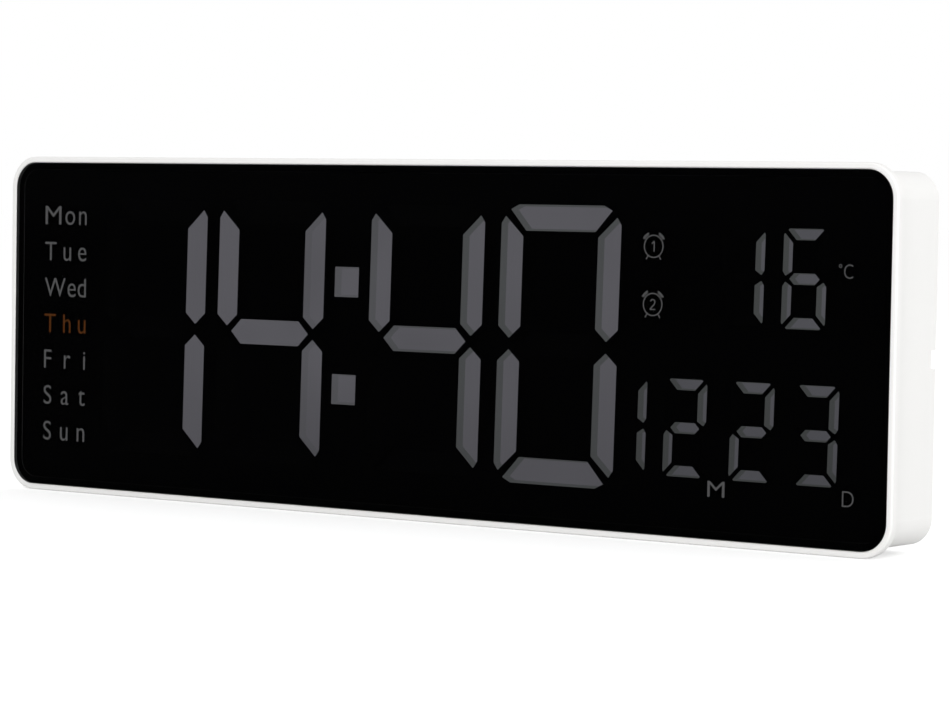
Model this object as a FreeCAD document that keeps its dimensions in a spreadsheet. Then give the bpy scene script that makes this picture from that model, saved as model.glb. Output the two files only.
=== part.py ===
import FreeCAD, Part
import math
import os

import Sketcher

# A wide day clock: a black window in a thin white rim, seven-segment lights behind
# it, and a recessed rear cover with keys, a folding leg, keyholes and a power inlet.
#
# X runs to the right as seen from the front, Y from the window to the back, Z up.
# The origin is the middle of the footprint, on the table. All lengths are in mm.

doc = FreeCAD.newDocument("DayClock")
V = FreeCAD.Vector

# Driving dimensions: name, value, what it is

SIZES = [
    # Case
    ("clock_width", 395.0, "outside of the rim, left to right"),
    ("clock_height", 130.0, "outside of the rim, bottom to top"),
    ("clock_depth", 32.0, "front of the rim to the rear edge of the wall"),
    ("corner_radius", 12.0, "outside corner of the rim, seen from the front"),
    ("rim_width", 2.2, "rim seen from the front, outside to window"),
    ("rim_depth", 3.2, "thickness of the rim, front to back"),
    ("rim_rounding", 0.8, "rounding of the rim's outer front edge"),
    ("lip_chamfer", 0.3, "chamfer of the rim's inner front edge"),
    ("wall_step", 2.6, "how far the wall stands in from the rim"),
    ("wall_thickness", 2.2, "side wall of the housing"),
    # Window stack
    ("window_setback", 0.3, "window front behind the rim front"),
    ("window_thickness", 1.5, "smoked acrylic"),
    ("window_clearance", 0.2, "gap round the window"),
    ("tape_thickness", 0.2, "adhesive frame behind the window"),
    ("inner_clearance", 0.3, "gap between an inner plate and the wall"),
    ("frame_depth", 7.8, "light frame, front to back"),
    ("board_thickness", 1.6, "both circuit boards"),
    # Seven-segment figures
    ("cup_recess", 3.0, "front of a segment cup to its floor"),
    ("cup_floor", 1.2, "floor thickness of a segment cup"),
    ("figure_slant", 1.2, "lean of the figures, degrees"),
    ("time_height", 98.0, "hour and minute figures"),
    ("time_width", 50.7, "hour and minute figures, upright"),
    ("time_upright", 9.5, "width of their upright strokes"),
    ("time_level", 9.2, "height of their level strokes"),
    ("time_flare", 0.7, "how much their cups narrow towards the floor"),
    ("small_height", 33.4, "temperature and date figures"),
    ("small_width", 16.9, "temperature and date figures, upright"),
    ("small_upright", 3.6, "width of their upright strokes"),
    ("small_level", 3.8, "height of their level strokes"),
    ("small_flare", 0.35, "how much their cups narrow towards the floor"),
    ("colon_side", 11.0, "side of a colon square"),
    # Ends of the strokes of the time figures, as shares of their upright stroke
    ("time_bar_nose_in", 0.41, "top stroke: nose to the figure's side"),
    ("time_bar_nose_drop", 0.18, "top stroke: nose below its outer edge"),
    ("time_bar_outer_in", 0.78, "top stroke: outer edge to the figure's side"),
    ("time_bar_inner_in", 1.13, "top stroke: inner edge to the figure's side"),
    ("time_stem_nose_in", 0.19, "upright stroke: nose to the figure's side"),
    ("time_stem_nose_drop", 0.43, "upright stroke: nose below the figure's top"),
    ("time_stem_outer_drop", 0.70, "upright stroke: outer edge below the top"),
    ("time_stem_inner_drop", 1.17, "upright stroke: inner edge below the top"),
    ("time_waist_in", 0.50, "upright stroke: lower nose to the figure's side"),
    ("time_waist_nose", 0.21, "upright stroke: lower nose to the figure's middle"),
    ("time_waist_shoulder", 0.65, "upright stroke: shoulders to the middle"),
    ("time_middle_nose_in", 0.73, "middle stroke: nose to the figure's side"),
    ("time_middle_shoulder_in", 1.22, "middle stroke: shoulder to the side"),
    # The same for the small figures, whose noses are sharper
    ("small_bar_nose_in", 0.46, "top stroke: nose to the figure's side"),
    ("small_bar_nose_drop", 0.12, "top stroke: nose below its outer edge"),
    ("small_bar_outer_in", 0.60, "top stroke: outer edge to the figure's side"),
    ("small_bar_inner_in", 1.36, "top stroke: inner edge to the figure's side"),
    ("small_stem_nose_in", 0.10, "upright stroke: nose to the figure's side"),
    ("small_stem_nose_drop", 0.40, "upright stroke: nose below the figure's top"),
    ("small_stem_outer_drop", 0.60, "upright stroke: outer edge below the top"),
    ("small_stem_inner_drop", 1.33, "upright stroke: inner edge below the top"),
    ("small_waist_in", 0.30, "upright stroke: lower nose to the figure's side"),
    ("small_waist_nose", 0.27, "upright stroke: lower nose to the figure's middle"),
    ("small_waist_shoulder", 0.70, "upright stroke: shoulders to the middle"),
    ("small_middle_nose_in", 0.73, "middle stroke: nose to the figure's side"),
    ("small_middle_shoulder_in", 1.25, "middle stroke: shoulder to the side"),
    # Places on the display, from the middle of the case. Across the clock they move in
    # proportion to the window, and they are given here for a window of layout_width.
    ("layout_width", 390.6, "width of the window that the places across are given for"),
    ("time_rise", 0.4, "middle of the time figures above mid-height"),
    ("hour_tens_x", -124.5, "hour tens, middle"),
    ("hour_units_x", -67.6, "hour units, middle"),
    ("minute_tens_x", 4.3, "minute tens, middle"),
    ("minute_units_x", 62.2, "minute units, middle"),
    ("colon_x", -31.8, "colon, middle"),
    ("colon_upper_z", 20.1, "upper colon square"),
    ("colon_lower_z", -19.2, "lower colon square"),
    ("temperature_z", 26.1, "temperature figures, middle"),
    ("temperature_tens_x", 137.5, "temperature tens"),
    ("temperature_units_x", 161.5, "temperature units"),
    ("date_z", -25.7, "date figures, middle"),
    ("month_tens_x", 91.5, "month tens, which only ever shows a one"),
    ("month_units_x", 115.7, "month units"),
    ("day_tens_x", 142.2, "day tens"),
    ("day_units_x", 167.0, "day units"),
    ("legend_thickness", 1.0, "printed legend plates"),
    ("weekday_x", -170.4, "weekday plates, middle"),
    ("weekday_top_z", 42.3, "first weekday plate, middle"),
    ("weekday_pitch", 14.0, "one weekday plate to the next"),
    ("weekday_plate_width", 24.0, "weekday plate"),
    ("weekday_plate_height", 10.0, "weekday plate"),
    ("bell_x", 101.8, "alarm symbols, middle"),
    ("bell_upper_z", 35.8, "first alarm symbol"),
    ("bell_lower_z", 15.9, "second alarm symbol"),
    ("bell_plate_width", 10.0, "alarm symbol plate"),
    ("bell_plate_height", 11.6, "alarm symbol plate"),
    ("unit_plate_side", 7.6, "plates for the unit letters"),
    ("degree_x", 177.1, "temperature unit plate"),
    ("degree_z", 29.1, "temperature unit plate"),
    ("month_letter_x", 128.7, "month letter plate"),
    ("day_letter_x", 179.8, "day letter plate"),
    ("letter_z", -45.8, "month and day letter plates"),
    # Lamps and electronics
    ("lamp_length", 3.5, "light-emitting chip"),
    ("lamp_width", 2.8, "light-emitting chip"),
    ("lamp_height", 1.4, "light-emitting chip"),
    ("control_side", 73.5, "control board to the side of the case"),
    ("control_length", 82.0, "control board along the clock"),
    ("control_bottom", 7.0, "control board, bottom above mid-height"),
    ("control_top", 47.0, "control board, top above mid-height"),
    ("control_gap", 9.2, "control board to the rear cover"),
    ("board_screw_left", 4.2, "display board screws beyond the weekday plates"),
    ("board_screw_right", 4.3, "display board screws before the alarm symbols"),
    ("board_screw_inset", 6.8885, "display board screws from its top and bottom"),
    ("tongue_bottom", -9.0, "board tongue under the inlet, bottom"),
    ("chip_length", 12.8, "lamp driver chip"),
    ("chip_width", 7.5, "lamp driver chip"),
    ("chip_height", 2.3, "lamp driver chip"),
    ("chip_drop", 16.5, "top of a driver chip below mid-height"),
    ("post_inset", 4.0, "control board screws from its edges"),
    ("tongue_overlap", 14.0, "inlet tongue under the control board's right end"),
    ("clock_chip_side", 10.0, "clock chip"),
    ("clock_chip_height", 1.4, "clock chip"),
    ("clock_chip_in", 22.0, "clock chip from the board's left edge"),
    ("clock_chip_up", 12.5, "clock chip from the board's bottom edge"),
    ("crystal_length", 8.0, "timing crystal"),
    ("crystal_radius", 1.5, "timing crystal"),
    ("capacitor_radius", 3.15, "power capacitor"),
    ("capacitor_height", 7.0, "power capacitor"),
    ("capacitor_in", 6.0, "power capacitor from the board's right edge"),
    ("capacitor_up", 14.0, "power capacitor from the board's bottom edge"),
    ("sensor_side", 2.4, "temperature sensor"),
    ("sensor_in", 14.0, "temperature sensor from the board's right edge"),
    ("sensor_down", 25.0, "temperature sensor from the board's top edge"),
    ("header_length", 18.0, "header between the boards"),
    ("header_width", 2.6, "header between the boards"),
    ("header_in", 26.0, "header from the control board's left edge"),
    ("header_up", 3.0, "header from the control board's bottom edge"),
    ("buzzer_side", 11.0, "buzzer"),
    ("buzzer_height", 8.5, "buzzer"),
    ("buzzer_in", 46.0, "buzzer from the control board's left edge"),
    ("buzzer_z", 17.0, "buzzer, middle above mid-height"),
    ("sound_slot_width", 1.4, "slots in the cover over the buzzer"),
    ("sound_slot_length", 9.0, "slots in the cover over the buzzer"),
    ("sound_slot_pitch", 3.4, "spacing of the sound slots"),
    ("switch_side", 6.0, "tact switch body"),
    ("switch_height", 3.5, "tact switch body"),
    ("plunger_side", 3.2, "tact switch plunger"),
    # Rear cover
    ("cover_setback", 1.6, "cover behind the rear edge of the wall"),
    ("cover_thickness", 2.4, "cover plate"),
    ("tub_wall", 1.5, "walls and floors of the cover's pockets"),
    ("boss_side", 6.4, "screw bosses and posts, square"),
    ("boss_inset", 4.6, "boss centre to the nearest inner wall"),
    ("corner_boss_side", 15.5, "corner bosses to the side of the case"),
    # Screws
    ("screw_radius", 1.3, "cover screw shank"),
    ("screw_head_radius", 2.6, "cover screw head"),
    ("screw_head_height", 1.2, "cover screw head"),
    ("screw_length", 8.0, "cover screw under its head"),
    ("pilot_extra", 1.0, "pilot hole beyond the tip of a screw"),
    ("post_floor", 1.0, "plastic beyond the door screw's pilot hole"),
    ("screw_clearance", 0.3, "round a screw in a through hole or sinking"),
    ("small_screw_radius", 1.0, "board screw shank"),
    ("small_screw_head_radius", 2.0, "board screw head"),
    ("small_screw_head_height", 1.2, "board screw head"),
    ("small_screw_length", 6.0, "board screw under its head"),
    ("thread_clearance", 0.05, "screw shank in its pilot hole"),
    # Keyholes
    ("keyhole_x", 150.0, "keyholes either side of the middle"),
    ("keyhole_z", 30.0, "keyhole entries above mid-height"),
    ("keyhole_entry_radius", 4.2, "round entry for the screw head"),
    ("keyhole_slot_width", 4.4, "slot that hooks on the screw"),
    ("keyhole_rise", 8.0, "entry centre to the end of the slot"),
    ("keyhole_depth", 7.0, "room for the screw head behind the plate"),
    # Keys
    ("key_in", 10.0, "first key from the control board's left edge"),
    ("key_pitch", 18.0, "one key to the next"),
    ("key_z", 33.0, "keys above mid-height"),
    ("key_width", 12.0, "key cap"),
    ("key_height", 7.0, "key cap"),
    ("key_gap", 0.3, "round a key in its window"),
    ("key_flange", 1.5, "retaining flange beyond the cap"),
    ("key_flange_thickness", 1.2, "retaining flange"),
    ("key_play", 0.2, "flange to the inside of the cover"),
    ("key_proud", 1.0, "cap above the cover"),
    ("key_chamfer", 0.5, "chamfer round the top of a key"),
    ("guide_gap", 0.6, "guide rib round the row of key flanges"),
    ("guide_wall", 1.2, "guide rib round the row of key flanges"),
    ("key_reach", 0.7, "key to the switch plunger at rest"),
    # Folding leg
    ("leg_width", 60.0, "leg across the clock"),
    ("leg_length", 40.0, "pin to the end of the leg"),
    ("leg_thickness", 3.0, "leg plate"),
    ("leg_side_gap", 2.0, "leg to the sides of its bay"),
    ("leg_axis_z", -8.0, "pin above mid-height"),
    ("leg_rib_width", 2.4, "ribs of the leg"),
    ("leg_rib", 1.0, "depth of the cut-outs between the leg's ribs"),
    ("barrel_radius", 2.1, "leg knuckle"),
    ("barrel_gap", 0.3, "knuckle to the floor of the bay"),
    ("heel_reach", 2.6, "stop heel beyond the pin"),
    ("heel_thickness", 1.6, "stop heel"),
    ("pin_radius", 1.0, "leg pin"),
    ("pin_seat", 2.0, "pin inside each side wall of the bay"),
    ("leg_bay_wall", 2.6, "side walls of the leg bay"),
    ("pin_clearance", 0.05, "leg bore round the pin"),
    ("pad_thickness", 2.0, "rubber at the end of the leg"),
    ("pad_width", 50.0, "rubber at the end of the leg"),
    ("pad_play", 0.5, "rubber to the end of the leg bay"),
    ("finger_gap", 6.0, "room below the leg for a fingertip"),
    ("finger_width", 24.0, "room below the leg for a fingertip"),
    # Coin cell bay
    ("cell_x", -100.0, "coin cell, middle"),
    ("cell_z", -20.0, "coin cell, middle above mid-height"),
    ("cell_radius", 10.0, "coin cell"),
    ("cell_thickness", 3.2, "coin cell"),
    ("cell_gap", 0.4, "round the coin cell"),
    ("contact_thickness", 0.5, "contact leaf under the coin cell"),
    ("contact_width", 6.0, "contact leaf"),
    ("contact_length", 15.0, "contact leaf"),
    ("door_width", 42.0, "battery door"),
    ("door_height", 28.0, "battery door"),
    ("door_thickness", 1.6, "battery door"),
    ("door_gap", 0.25, "round the battery door"),
    ("door_seat", 1.6, "cover under the edge of the door"),
    ("door_sink", 0.9, "sinking for the door screw's head"),
    ("door_screw_in", 7.0, "door screw from the end of the door"),
    # Power inlet
    ("inlet_side", 47.5, "left end of the plug pocket to the side of the case"),
    ("inlet_length", 33.0, "plug pocket, along the clock"),
    ("inlet_height", 15.0, "plug pocket, bottom to top"),
    ("plug_margin", 1.2, "pocket floor in front of the jack"),
    ("channel_extra", 1.5, "cable channel floor in front of the notch"),
    ("jack_length", 13.0, "power jack"),
    ("jack_width", 9.0, "power jack, front to back"),
    ("jack_height", 11.0, "power jack, bottom to top"),
    ("jack_bore_radius", 3.15, "power jack bore"),
    ("jack_bore_depth", 9.0, "power jack bore"),
    ("jack_pin_radius", 1.0, "power jack centre pin"),
    ("jack_pin_short", 1.0, "centre pin behind the jack's face"),
    ("jack_pin_root", 1.0, "centre pin into the jack beyond its bore"),
    ("notch_height", 6.0, "cable notch in the right wall"),
    ("notch_depth", 3.0, "cable notch from the rear edge"),
    ("notch_z", 0.0, "cable notch above mid-height"),
    # Feet
    ("foot_side", 47.5, "middle of a rubber foot to the side of the case"),
    ("foot_length", 26.0, "rubber foot along the clock"),
    ("foot_width", 9.0, "rubber foot, front to back"),
    ("foot_back", 3.0, "rubber foot to the rear edge"),
]

sheet = doc.addObject("Spreadsheet::Sheet", "Sizes")
for row, (name, number, meaning) in enumerate(SIZES, start=1):
    sheet.set("A%d" % row, name)
    sheet.set("B%d" % row, str(number))
    sheet.set("C%d" % row, meaning)
    sheet.setAlias("B%d" % row, name)
doc.recompute()

NAMES = sorted((entry[0] for entry in SIZES), key=len, reverse=True)


def bound(text):
    """Write an expression of plain size names the way other objects read the sheet."""
    words = []
    word = ""
    for letter in text + " ":
        if letter.isalnum() or letter in "_.":
            word += letter
            continue
        if word in NAMES:
            word = "Sizes." + word
        words.append(word + letter)
        word = ""
    return "".join(words).strip()


def value(text):
    """Work out an expression of size names as a number."""
    return float(sheet.evalExpression(bound(text)))


# Places that several pieces share, as expressions of the sizes

MID = "(clock_height / 2)"
FRONT = "(-clock_depth / 2)"
REAR = "(clock_depth / 2)"
OPENING_W = "(clock_width - 2 * rim_width)"
OPENING_H = "(clock_height - 2 * rim_width)"
OPENING_R = "(corner_radius - rim_width)"
SPREAD = "(%s / layout_width)" % OPENING_W
WALL_W = "(clock_width - 2 * wall_step)"
WALL_H = "(clock_height - 2 * wall_step)"
WALL_R = "(corner_radius - wall_step)"
INNER_W = "(clock_width - 2 * wall_step - 2 * wall_thickness)"
INNER_H = "(clock_height - 2 * wall_step - 2 * wall_thickness)"
INNER_R = "(corner_radius - wall_step - wall_thickness)"
PLATE_W = "(clock_width - 2 * wall_step - 2 * wall_thickness - 2 * inner_clearance)"
PLATE_H = "(clock_height - 2 * wall_step - 2 * wall_thickness - 2 * inner_clearance)"
PLATE_R = "(corner_radius - wall_step - wall_thickness - inner_clearance)"
WINDOW_FRONT = "(-clock_depth / 2 + window_setback)"
WINDOW_REAR = "(-clock_depth / 2 + window_setback + window_thickness)"
LEDGE = "(-clock_depth / 2 + window_setback + window_thickness + tape_thickness)"
BOARD_FRONT = "(%s + frame_depth)" % LEDGE
BOARD_REAR = "(%s + board_thickness)" % BOARD_FRONT
COVER_REAR = "(clock_depth / 2 - cover_setback)"
COVER_FRONT = "(clock_depth / 2 - cover_setback - cover_thickness)"
CONTROL_REAR = "(%s - control_gap)" % COVER_FRONT
CONTROL_FRONT = "(%s - board_thickness)" % CONTROL_REAR
JACK_AXIS_Y = "(%s + jack_width / 2)" % CONTROL_REAR
NOTCH_Z = "(clock_height / 2 + notch_z)"
CONTROL_RIGHT = "(clock_width / 2 - control_side)"
CONTROL_LEFT = "(%s - control_length)" % CONTROL_RIGHT
BUZZER_X = "(%s + buzzer_in)" % CONTROL_LEFT
KEY_X = "(%s + key_in)" % CONTROL_LEFT
INLET_LEFT = "(clock_width / 2 - inlet_side)"
BOSS_Z = "(%s / 2 - boss_inset)" % INNER_H



def across(name):
    """Write a place across the display, which moves in proportion to the window."""
    return "(%s * %s)" % (SPREAD, name)


FLATS = 10  # sides of a small screw and of the pilot holes for it in the light frame


def new_body(label):
    """Start a piece as a body of sketched features."""
    body = doc.addObject("PartDesign::Body", label)
    body.Label = label
    body.Placement = FreeCAD.Placement()
    return body


def new_sketch(body, name, y):
    """Add a sketch that faces the front, at a distance y behind the origin."""
    plane = [item for item in body.Origin.OriginFeatures if item.Role == "XZ_Plane"][0]
    sketch = body.newObject("Sketcher::SketchObject", name)
    sketch.AttachmentSupport = [(plane, "")]
    sketch.MapMode = "FlatFace"
    sketch.setExpression("AttachmentOffset.Base.z", bound("-1 * (%s)" % y))
    return sketch


def constrain(sketch, kind, items, text):
    """Add a dimension and bind it to the sheet."""
    index = sketch.addConstraint(Sketcher.Constraint(kind, *items, value(text)))
    sketch.setExpression("Constraints[%d]" % index, bound(text))


def draw_circle(sketch, x, z, radius):
    """Draw a circle."""
    centre = V(value(x), value(z), 0)
    circle = sketch.addGeometry(Part.Circle(centre, V(0, 0, 1), value(radius)), False)
    constrain(sketch, "DistanceX", (-1, 1, circle, 3), x)
    constrain(sketch, "DistanceY", (-1, 1, circle, 3), z)
    constrain(sketch, "Radius", (circle,), radius)


def draw_rectangle(sketch, x, z, width, height, radius=None):
    """Draw a rectangle about its middle, with round corners if a radius is given."""
    left = value("%s - (%s) / 2" % (x, width))
    right = value("%s + (%s) / 2" % (x, width))
    low = value("%s - (%s) / 2" % (z, height))
    high = value("%s + (%s) / 2" % (z, height))
    r = value(radius) if radius else 0.0
    ends = [
        (V(left + r, low, 0), V(right - r, low, 0)),
        (V(right, low + r, 0), V(right, high - r, 0)),
        (V(right - r, high, 0), V(left + r, high, 0)),
        (V(left, high - r, 0), V(left, low + r, 0)),
    ]
    lines = [sketch.addGeometry(Part.LineSegment(a, b), False) for a, b in ends]
    for index in (0, 2):
        sketch.addConstraint(Sketcher.Constraint("Horizontal", lines[index]))
        sketch.addConstraint(Sketcher.Constraint("Vertical", lines[index + 1]))
    if radius:
        centres = [(right - r, low + r), (right - r, high - r), (left + r, high - r), (left + r, low + r)]
        arcs = []
        for index, (cx, cz) in enumerate(centres):
            start = math.radians(-90 + 90 * index)
            circle = Part.Circle(V(cx, cz, 0), V(0, 0, 1), r)
            arc = sketch.addGeometry(Part.ArcOfCircle(circle, start, start + math.pi / 2), False)
            following = lines[(index + 1) % 4]
            sketch.addConstraint(Sketcher.Constraint("Tangent", lines[index], 2, arc, 1))
            sketch.addConstraint(Sketcher.Constraint("Tangent", arc, 2, following, 1))
            if arcs:
                sketch.addConstraint(Sketcher.Constraint("Equal", arcs[0], arc))
            arcs.append(arc)
        constrain(sketch, "Radius", (arcs[0],), radius)
    else:
        for index in range(4):
            join = (lines[index], 2, lines[(index + 1) % 4], 1)
            sketch.addConstraint(Sketcher.Constraint("Coincident", *join))
    constrain(sketch, "DistanceX", (lines[3], 1, lines[1], 1), width)
    constrain(sketch, "DistanceY", (lines[0], 1, lines[2], 1), height)
    constrain(sketch, "DistanceX", (-1, 1, lines[3], 1), "%s - (%s) / 2" % (x, width))
    constrain(sketch, "DistanceY", (-1, 1, lines[0], 1), "%s - (%s) / 2" % (z, height))


def pad(body, name, front, rear, *shapes):
    """Add material between two depths. Each shape is a draw function and its sizes."""
    sketch = new_sketch(body, name + "_outline", rear)
    for draw, *sizes in shapes:
        draw(sketch, *sizes)
    feature = body.newObject("PartDesign::Pad", name)
    feature.Profile = sketch
    feature.setExpression("Length", bound("(%s) - (%s)" % (rear, front)))
    body.Tip = feature
    doc.recompute()
    return feature


def cut(body, name, front, rear, *shapes):
    """Take material away between two depths, and make sure that some went."""
    before = body.Shape.Volume
    sketch = new_sketch(body, name + "_outline", front)
    for draw, *sizes in shapes:
        draw(sketch, *sizes)
    feature = body.newObject("PartDesign::Pocket", name)
    feature.Profile = sketch
    feature.Reversed = False
    feature.setExpression("Length", bound("(%s) - (%s)" % (rear, front)))
    body.Tip = feature
    doc.recompute()
    if not feature.Shape.Volume < before - 1e-6:
        raise RuntimeError("%s of %s cuts nothing" % (name, body.Label))
    return feature


def round_edges(body, name, size, chosen, kind="PartDesign::Fillet", measure="Radius"):
    """Round the edges of a body that a test picks out, or give them another finish."""
    base = body.Tip
    picked = ["Edge%d" % (i + 1) for i, edge in enumerate(base.Shape.Edges) if chosen(edge)]
    if not picked:
        raise RuntimeError("%s of %s finds no edge" % (name, body.Label))
    feature = body.newObject(kind, name)
    feature.Base = (base, picked)
    feature.setExpression(measure, bound(size))
    body.Tip = feature
    doc.recompute()
    return feature


def chamfer_edges(body, name, size, chosen):
    """Chamfer the edges of a body that a test picks out."""
    return round_edges(body, name, size, chosen, "PartDesign::Chamfer", "Size")


NEAR = 0.01  # two places this close are the same place, in millimetres


def lies_at(edge, y):
    """Tell whether an edge lies in the plane at depth y."""
    box = edge.BoundBox
    return abs(box.YMin - y) < NEAR and abs(box.YMax - y) < NEAR


def solid_piece(label, shapes):
    """Make a piece from finished solids."""
    piece = doc.addObject("Part::Feature", label)
    piece.Label = label
    piece.Shape = shapes[0] if len(shapes) == 1 else Part.makeCompound(shapes)
    return piece


def box_object(name, left, right, front, rear, low, high):
    """A box whose six sides are bound to the sheet."""
    box = doc.addObject("Part::Box", name)
    spans = (("Length", "x", left, right), ("Width", "y", front, rear), ("Height", "z", low, high))
    for edge, axis, start, end in spans:
        box.setExpression(edge, bound("(%s) - (%s)" % (end, start)))
        box.setExpression("Placement.Base." + axis, bound(start))
    return box


def rod_object(name, x, z, front, rear, radius):
    """A round rod that runs front to back, bound to the sheet."""
    turned = FreeCAD.Rotation(V(1, 0, 0), -90)
    return bound_cylinder(name, turned, (x, front, z), "(%s) - (%s)" % (rear, front), radius)


def faceted_object(name, x, z, front, rear, radius):
    """A rod with flats all round that runs front to back, bound to the sheet."""
    prism = doc.addObject("Part::Prism", name)
    prism.Polygon = FLATS
    prism.Placement = FreeCAD.Placement(V(0, 0, 0), FreeCAD.Rotation(V(1, 0, 0), -90))
    for axis, text in zip("xyz", (x, front, z)):
        prism.setExpression("Placement.Base." + axis, bound(text))
    prism.setExpression("Height", bound("(%s) - (%s)" % (rear, front)))
    prism.setExpression("Circumradius", bound(radius))
    return prism


def axle_object(name, left, right, y, z, radius):
    """A round rod that runs left to right, bound to the sheet."""
    turned = FreeCAD.Rotation(V(0, 1, 0), 90)
    return bound_cylinder(name, turned, (left, y, z), "(%s) - (%s)" % (right, left), radius)


def bound_cylinder(name, rotation, start, length, radius):
    """A cylinder that starts at three bound coordinates."""
    cylinder = doc.addObject("Part::Cylinder", name)
    cylinder.Placement = FreeCAD.Placement(V(0, 0, 0), rotation)
    for axis, text in zip("xyz", start):
        cylinder.setExpression("Placement.Base." + axis, bound(text))
    cylinder.setExpression("Height", bound(length))
    cylinder.setExpression("Radius", bound(radius))
    return cylinder


def gathered(kind, label, members):
    """Join members (Part::MultiFuse) or keep them side by side (Part::Compound)."""
    result = doc.addObject(kind, label)
    result.Label = label
    if kind == "Part::Compound":
        result.Links = members
    else:
        result.Shapes = members
        result.Refine = True
    return result


def remainder(label, base, tool):
    """What is left of one object after another is taken away."""
    result = doc.addObject("Part::Cut", label)
    result.Label = label
    result.Base = base
    result.Tool = tool
    result.Refine = True
    return result


# Housing: rim, wall, screw bosses and cable notch

BOSS_X = "(clock_width / 2 - corner_boss_side)"
BOSS_SITES = [("%s * %s" % (side, BOSS_X), level) for side in ("1", "-1") for level in ("1", "-1")]
BOSS_SITES.append(("0", "1"))
BOSSES = [(x, "%s + %s * %s" % (MID, level, BOSS_Z)) for x, level in BOSS_SITES]

housing = new_body("housing")
pad(housing, "rim", FRONT, FRONT + " + rim_depth",
    (draw_rectangle, "0", MID, "clock_width", "clock_height", "corner_radius"))
pad(housing, "wall", FRONT + " + rim_depth", REAR,
    (draw_rectangle, "0", MID, WALL_W, WALL_H, WALL_R))
cut(housing, "window_seat", FRONT, LEDGE,
    (draw_rectangle, "0", MID, OPENING_W, OPENING_H, OPENING_R))
cut(housing, "hollow", LEDGE, REAR,
    (draw_rectangle, "0", MID, INNER_W, INNER_H, INNER_R))
for number, (x, level) in enumerate(BOSS_SITES, start=1):
    outer = "(%s / 2 + wall_thickness / 2)" % INNER_H
    inner = "(%s - boss_side / 2)" % BOSS_Z
    pad(housing, "boss_%d" % number, BOARD_REAR, COVER_FRONT,
        (draw_rectangle, x, "%s + %s * (%s + %s) / 2" % (MID, level, outer, inner), "boss_side",
         "%s - %s" % (outer, inner)))
cut(housing, "pilots", COVER_REAR + " - screw_length - pilot_extra", COVER_FRONT,
    *[(draw_circle, x, z, "screw_radius + thread_clearance") for x, z in BOSSES])
cut(housing, "cable_notch", REAR + " - notch_depth", REAR,
    (draw_rectangle, "(%s + %s) / 4" % (WALL_W, INNER_W), NOTCH_Z, "2 * wall_thickness", "notch_height"))


def front_edges(inner):
    """Pick the window-side or the outer edges of the rim's front."""
    half_w = value(OPENING_W if inner else "clock_width") / 2
    half_h = value(OPENING_H if inner else "clock_height") / 2
    corner = value(OPENING_R if inner else "corner_radius")
    mid = value(MID)

    def chosen(edge):
        if not lies_at(edge, value(FRONT)):
            return False
        point = edge.valueAt((edge.FirstParameter + edge.LastParameter) / 2)
        across = abs(point.x) - (half_w - corner)
        along = abs(point.z - mid) - (half_h - corner)
        if across > 0 and along > 0:
            return abs(math.hypot(across, along) - corner) < NEAR
        return abs(max(across, along) - corner) < NEAR

    return chosen


round_edges(housing, "rim_outer_rounding", "rim_rounding", front_edges(False))
chamfer_edges(housing, "rim_inner_chamfer", "lip_chamfer", front_edges(True))

# Window: smoked acrylic on a frame of adhesive tape

front_panel = new_body("front_panel")
pad(front_panel, "sheet_of_acrylic", WINDOW_FRONT, WINDOW_REAR,
    (draw_rectangle, "0", MID, OPENING_W + " - 2 * window_clearance",
     OPENING_H + " - 2 * window_clearance", OPENING_R + " - window_clearance"))

panel_tape = new_body("panel_tape")
pad(panel_tape, "tape", WINDOW_REAR, LEDGE,
    (draw_rectangle, "0", MID, OPENING_W + " - 2 * window_clearance",
     OPENING_H + " - 2 * window_clearance", OPENING_R + " - window_clearance"))
cut(panel_tape, "tape_middle", WINDOW_REAR, LEDGE,
    (draw_rectangle, "0", MID, INNER_W, INNER_H, INNER_R))

# Seven-segment figures. Each segment is a flared cup with a closed floor, and its
# outline is a stroke with mitred ends that lean with the figure.

LIT = {"zero": "abcdef", "one": "bc", "two": "abged", "three": "abgcd", "four": "bcfg", "six": "acdefg"}

TIME_FIGURES = [
    ("hour_tens_x", "one"),
    ("hour_units_x", "four"),
    ("minute_tens_x", "four"),
    ("minute_units_x", "zero"),
]
SMALL_FIGURES = [
    ("temperature_tens_x", "temperature_z", "one"),
    ("temperature_units_x", "temperature_z", "six"),
    ("month_tens_x", "date_z", "one"),
    ("month_units_x", "date_z", "two"),
    ("day_tens_x", "date_z", "two"),
    ("day_units_x", "date_z", "three"),
]


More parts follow.
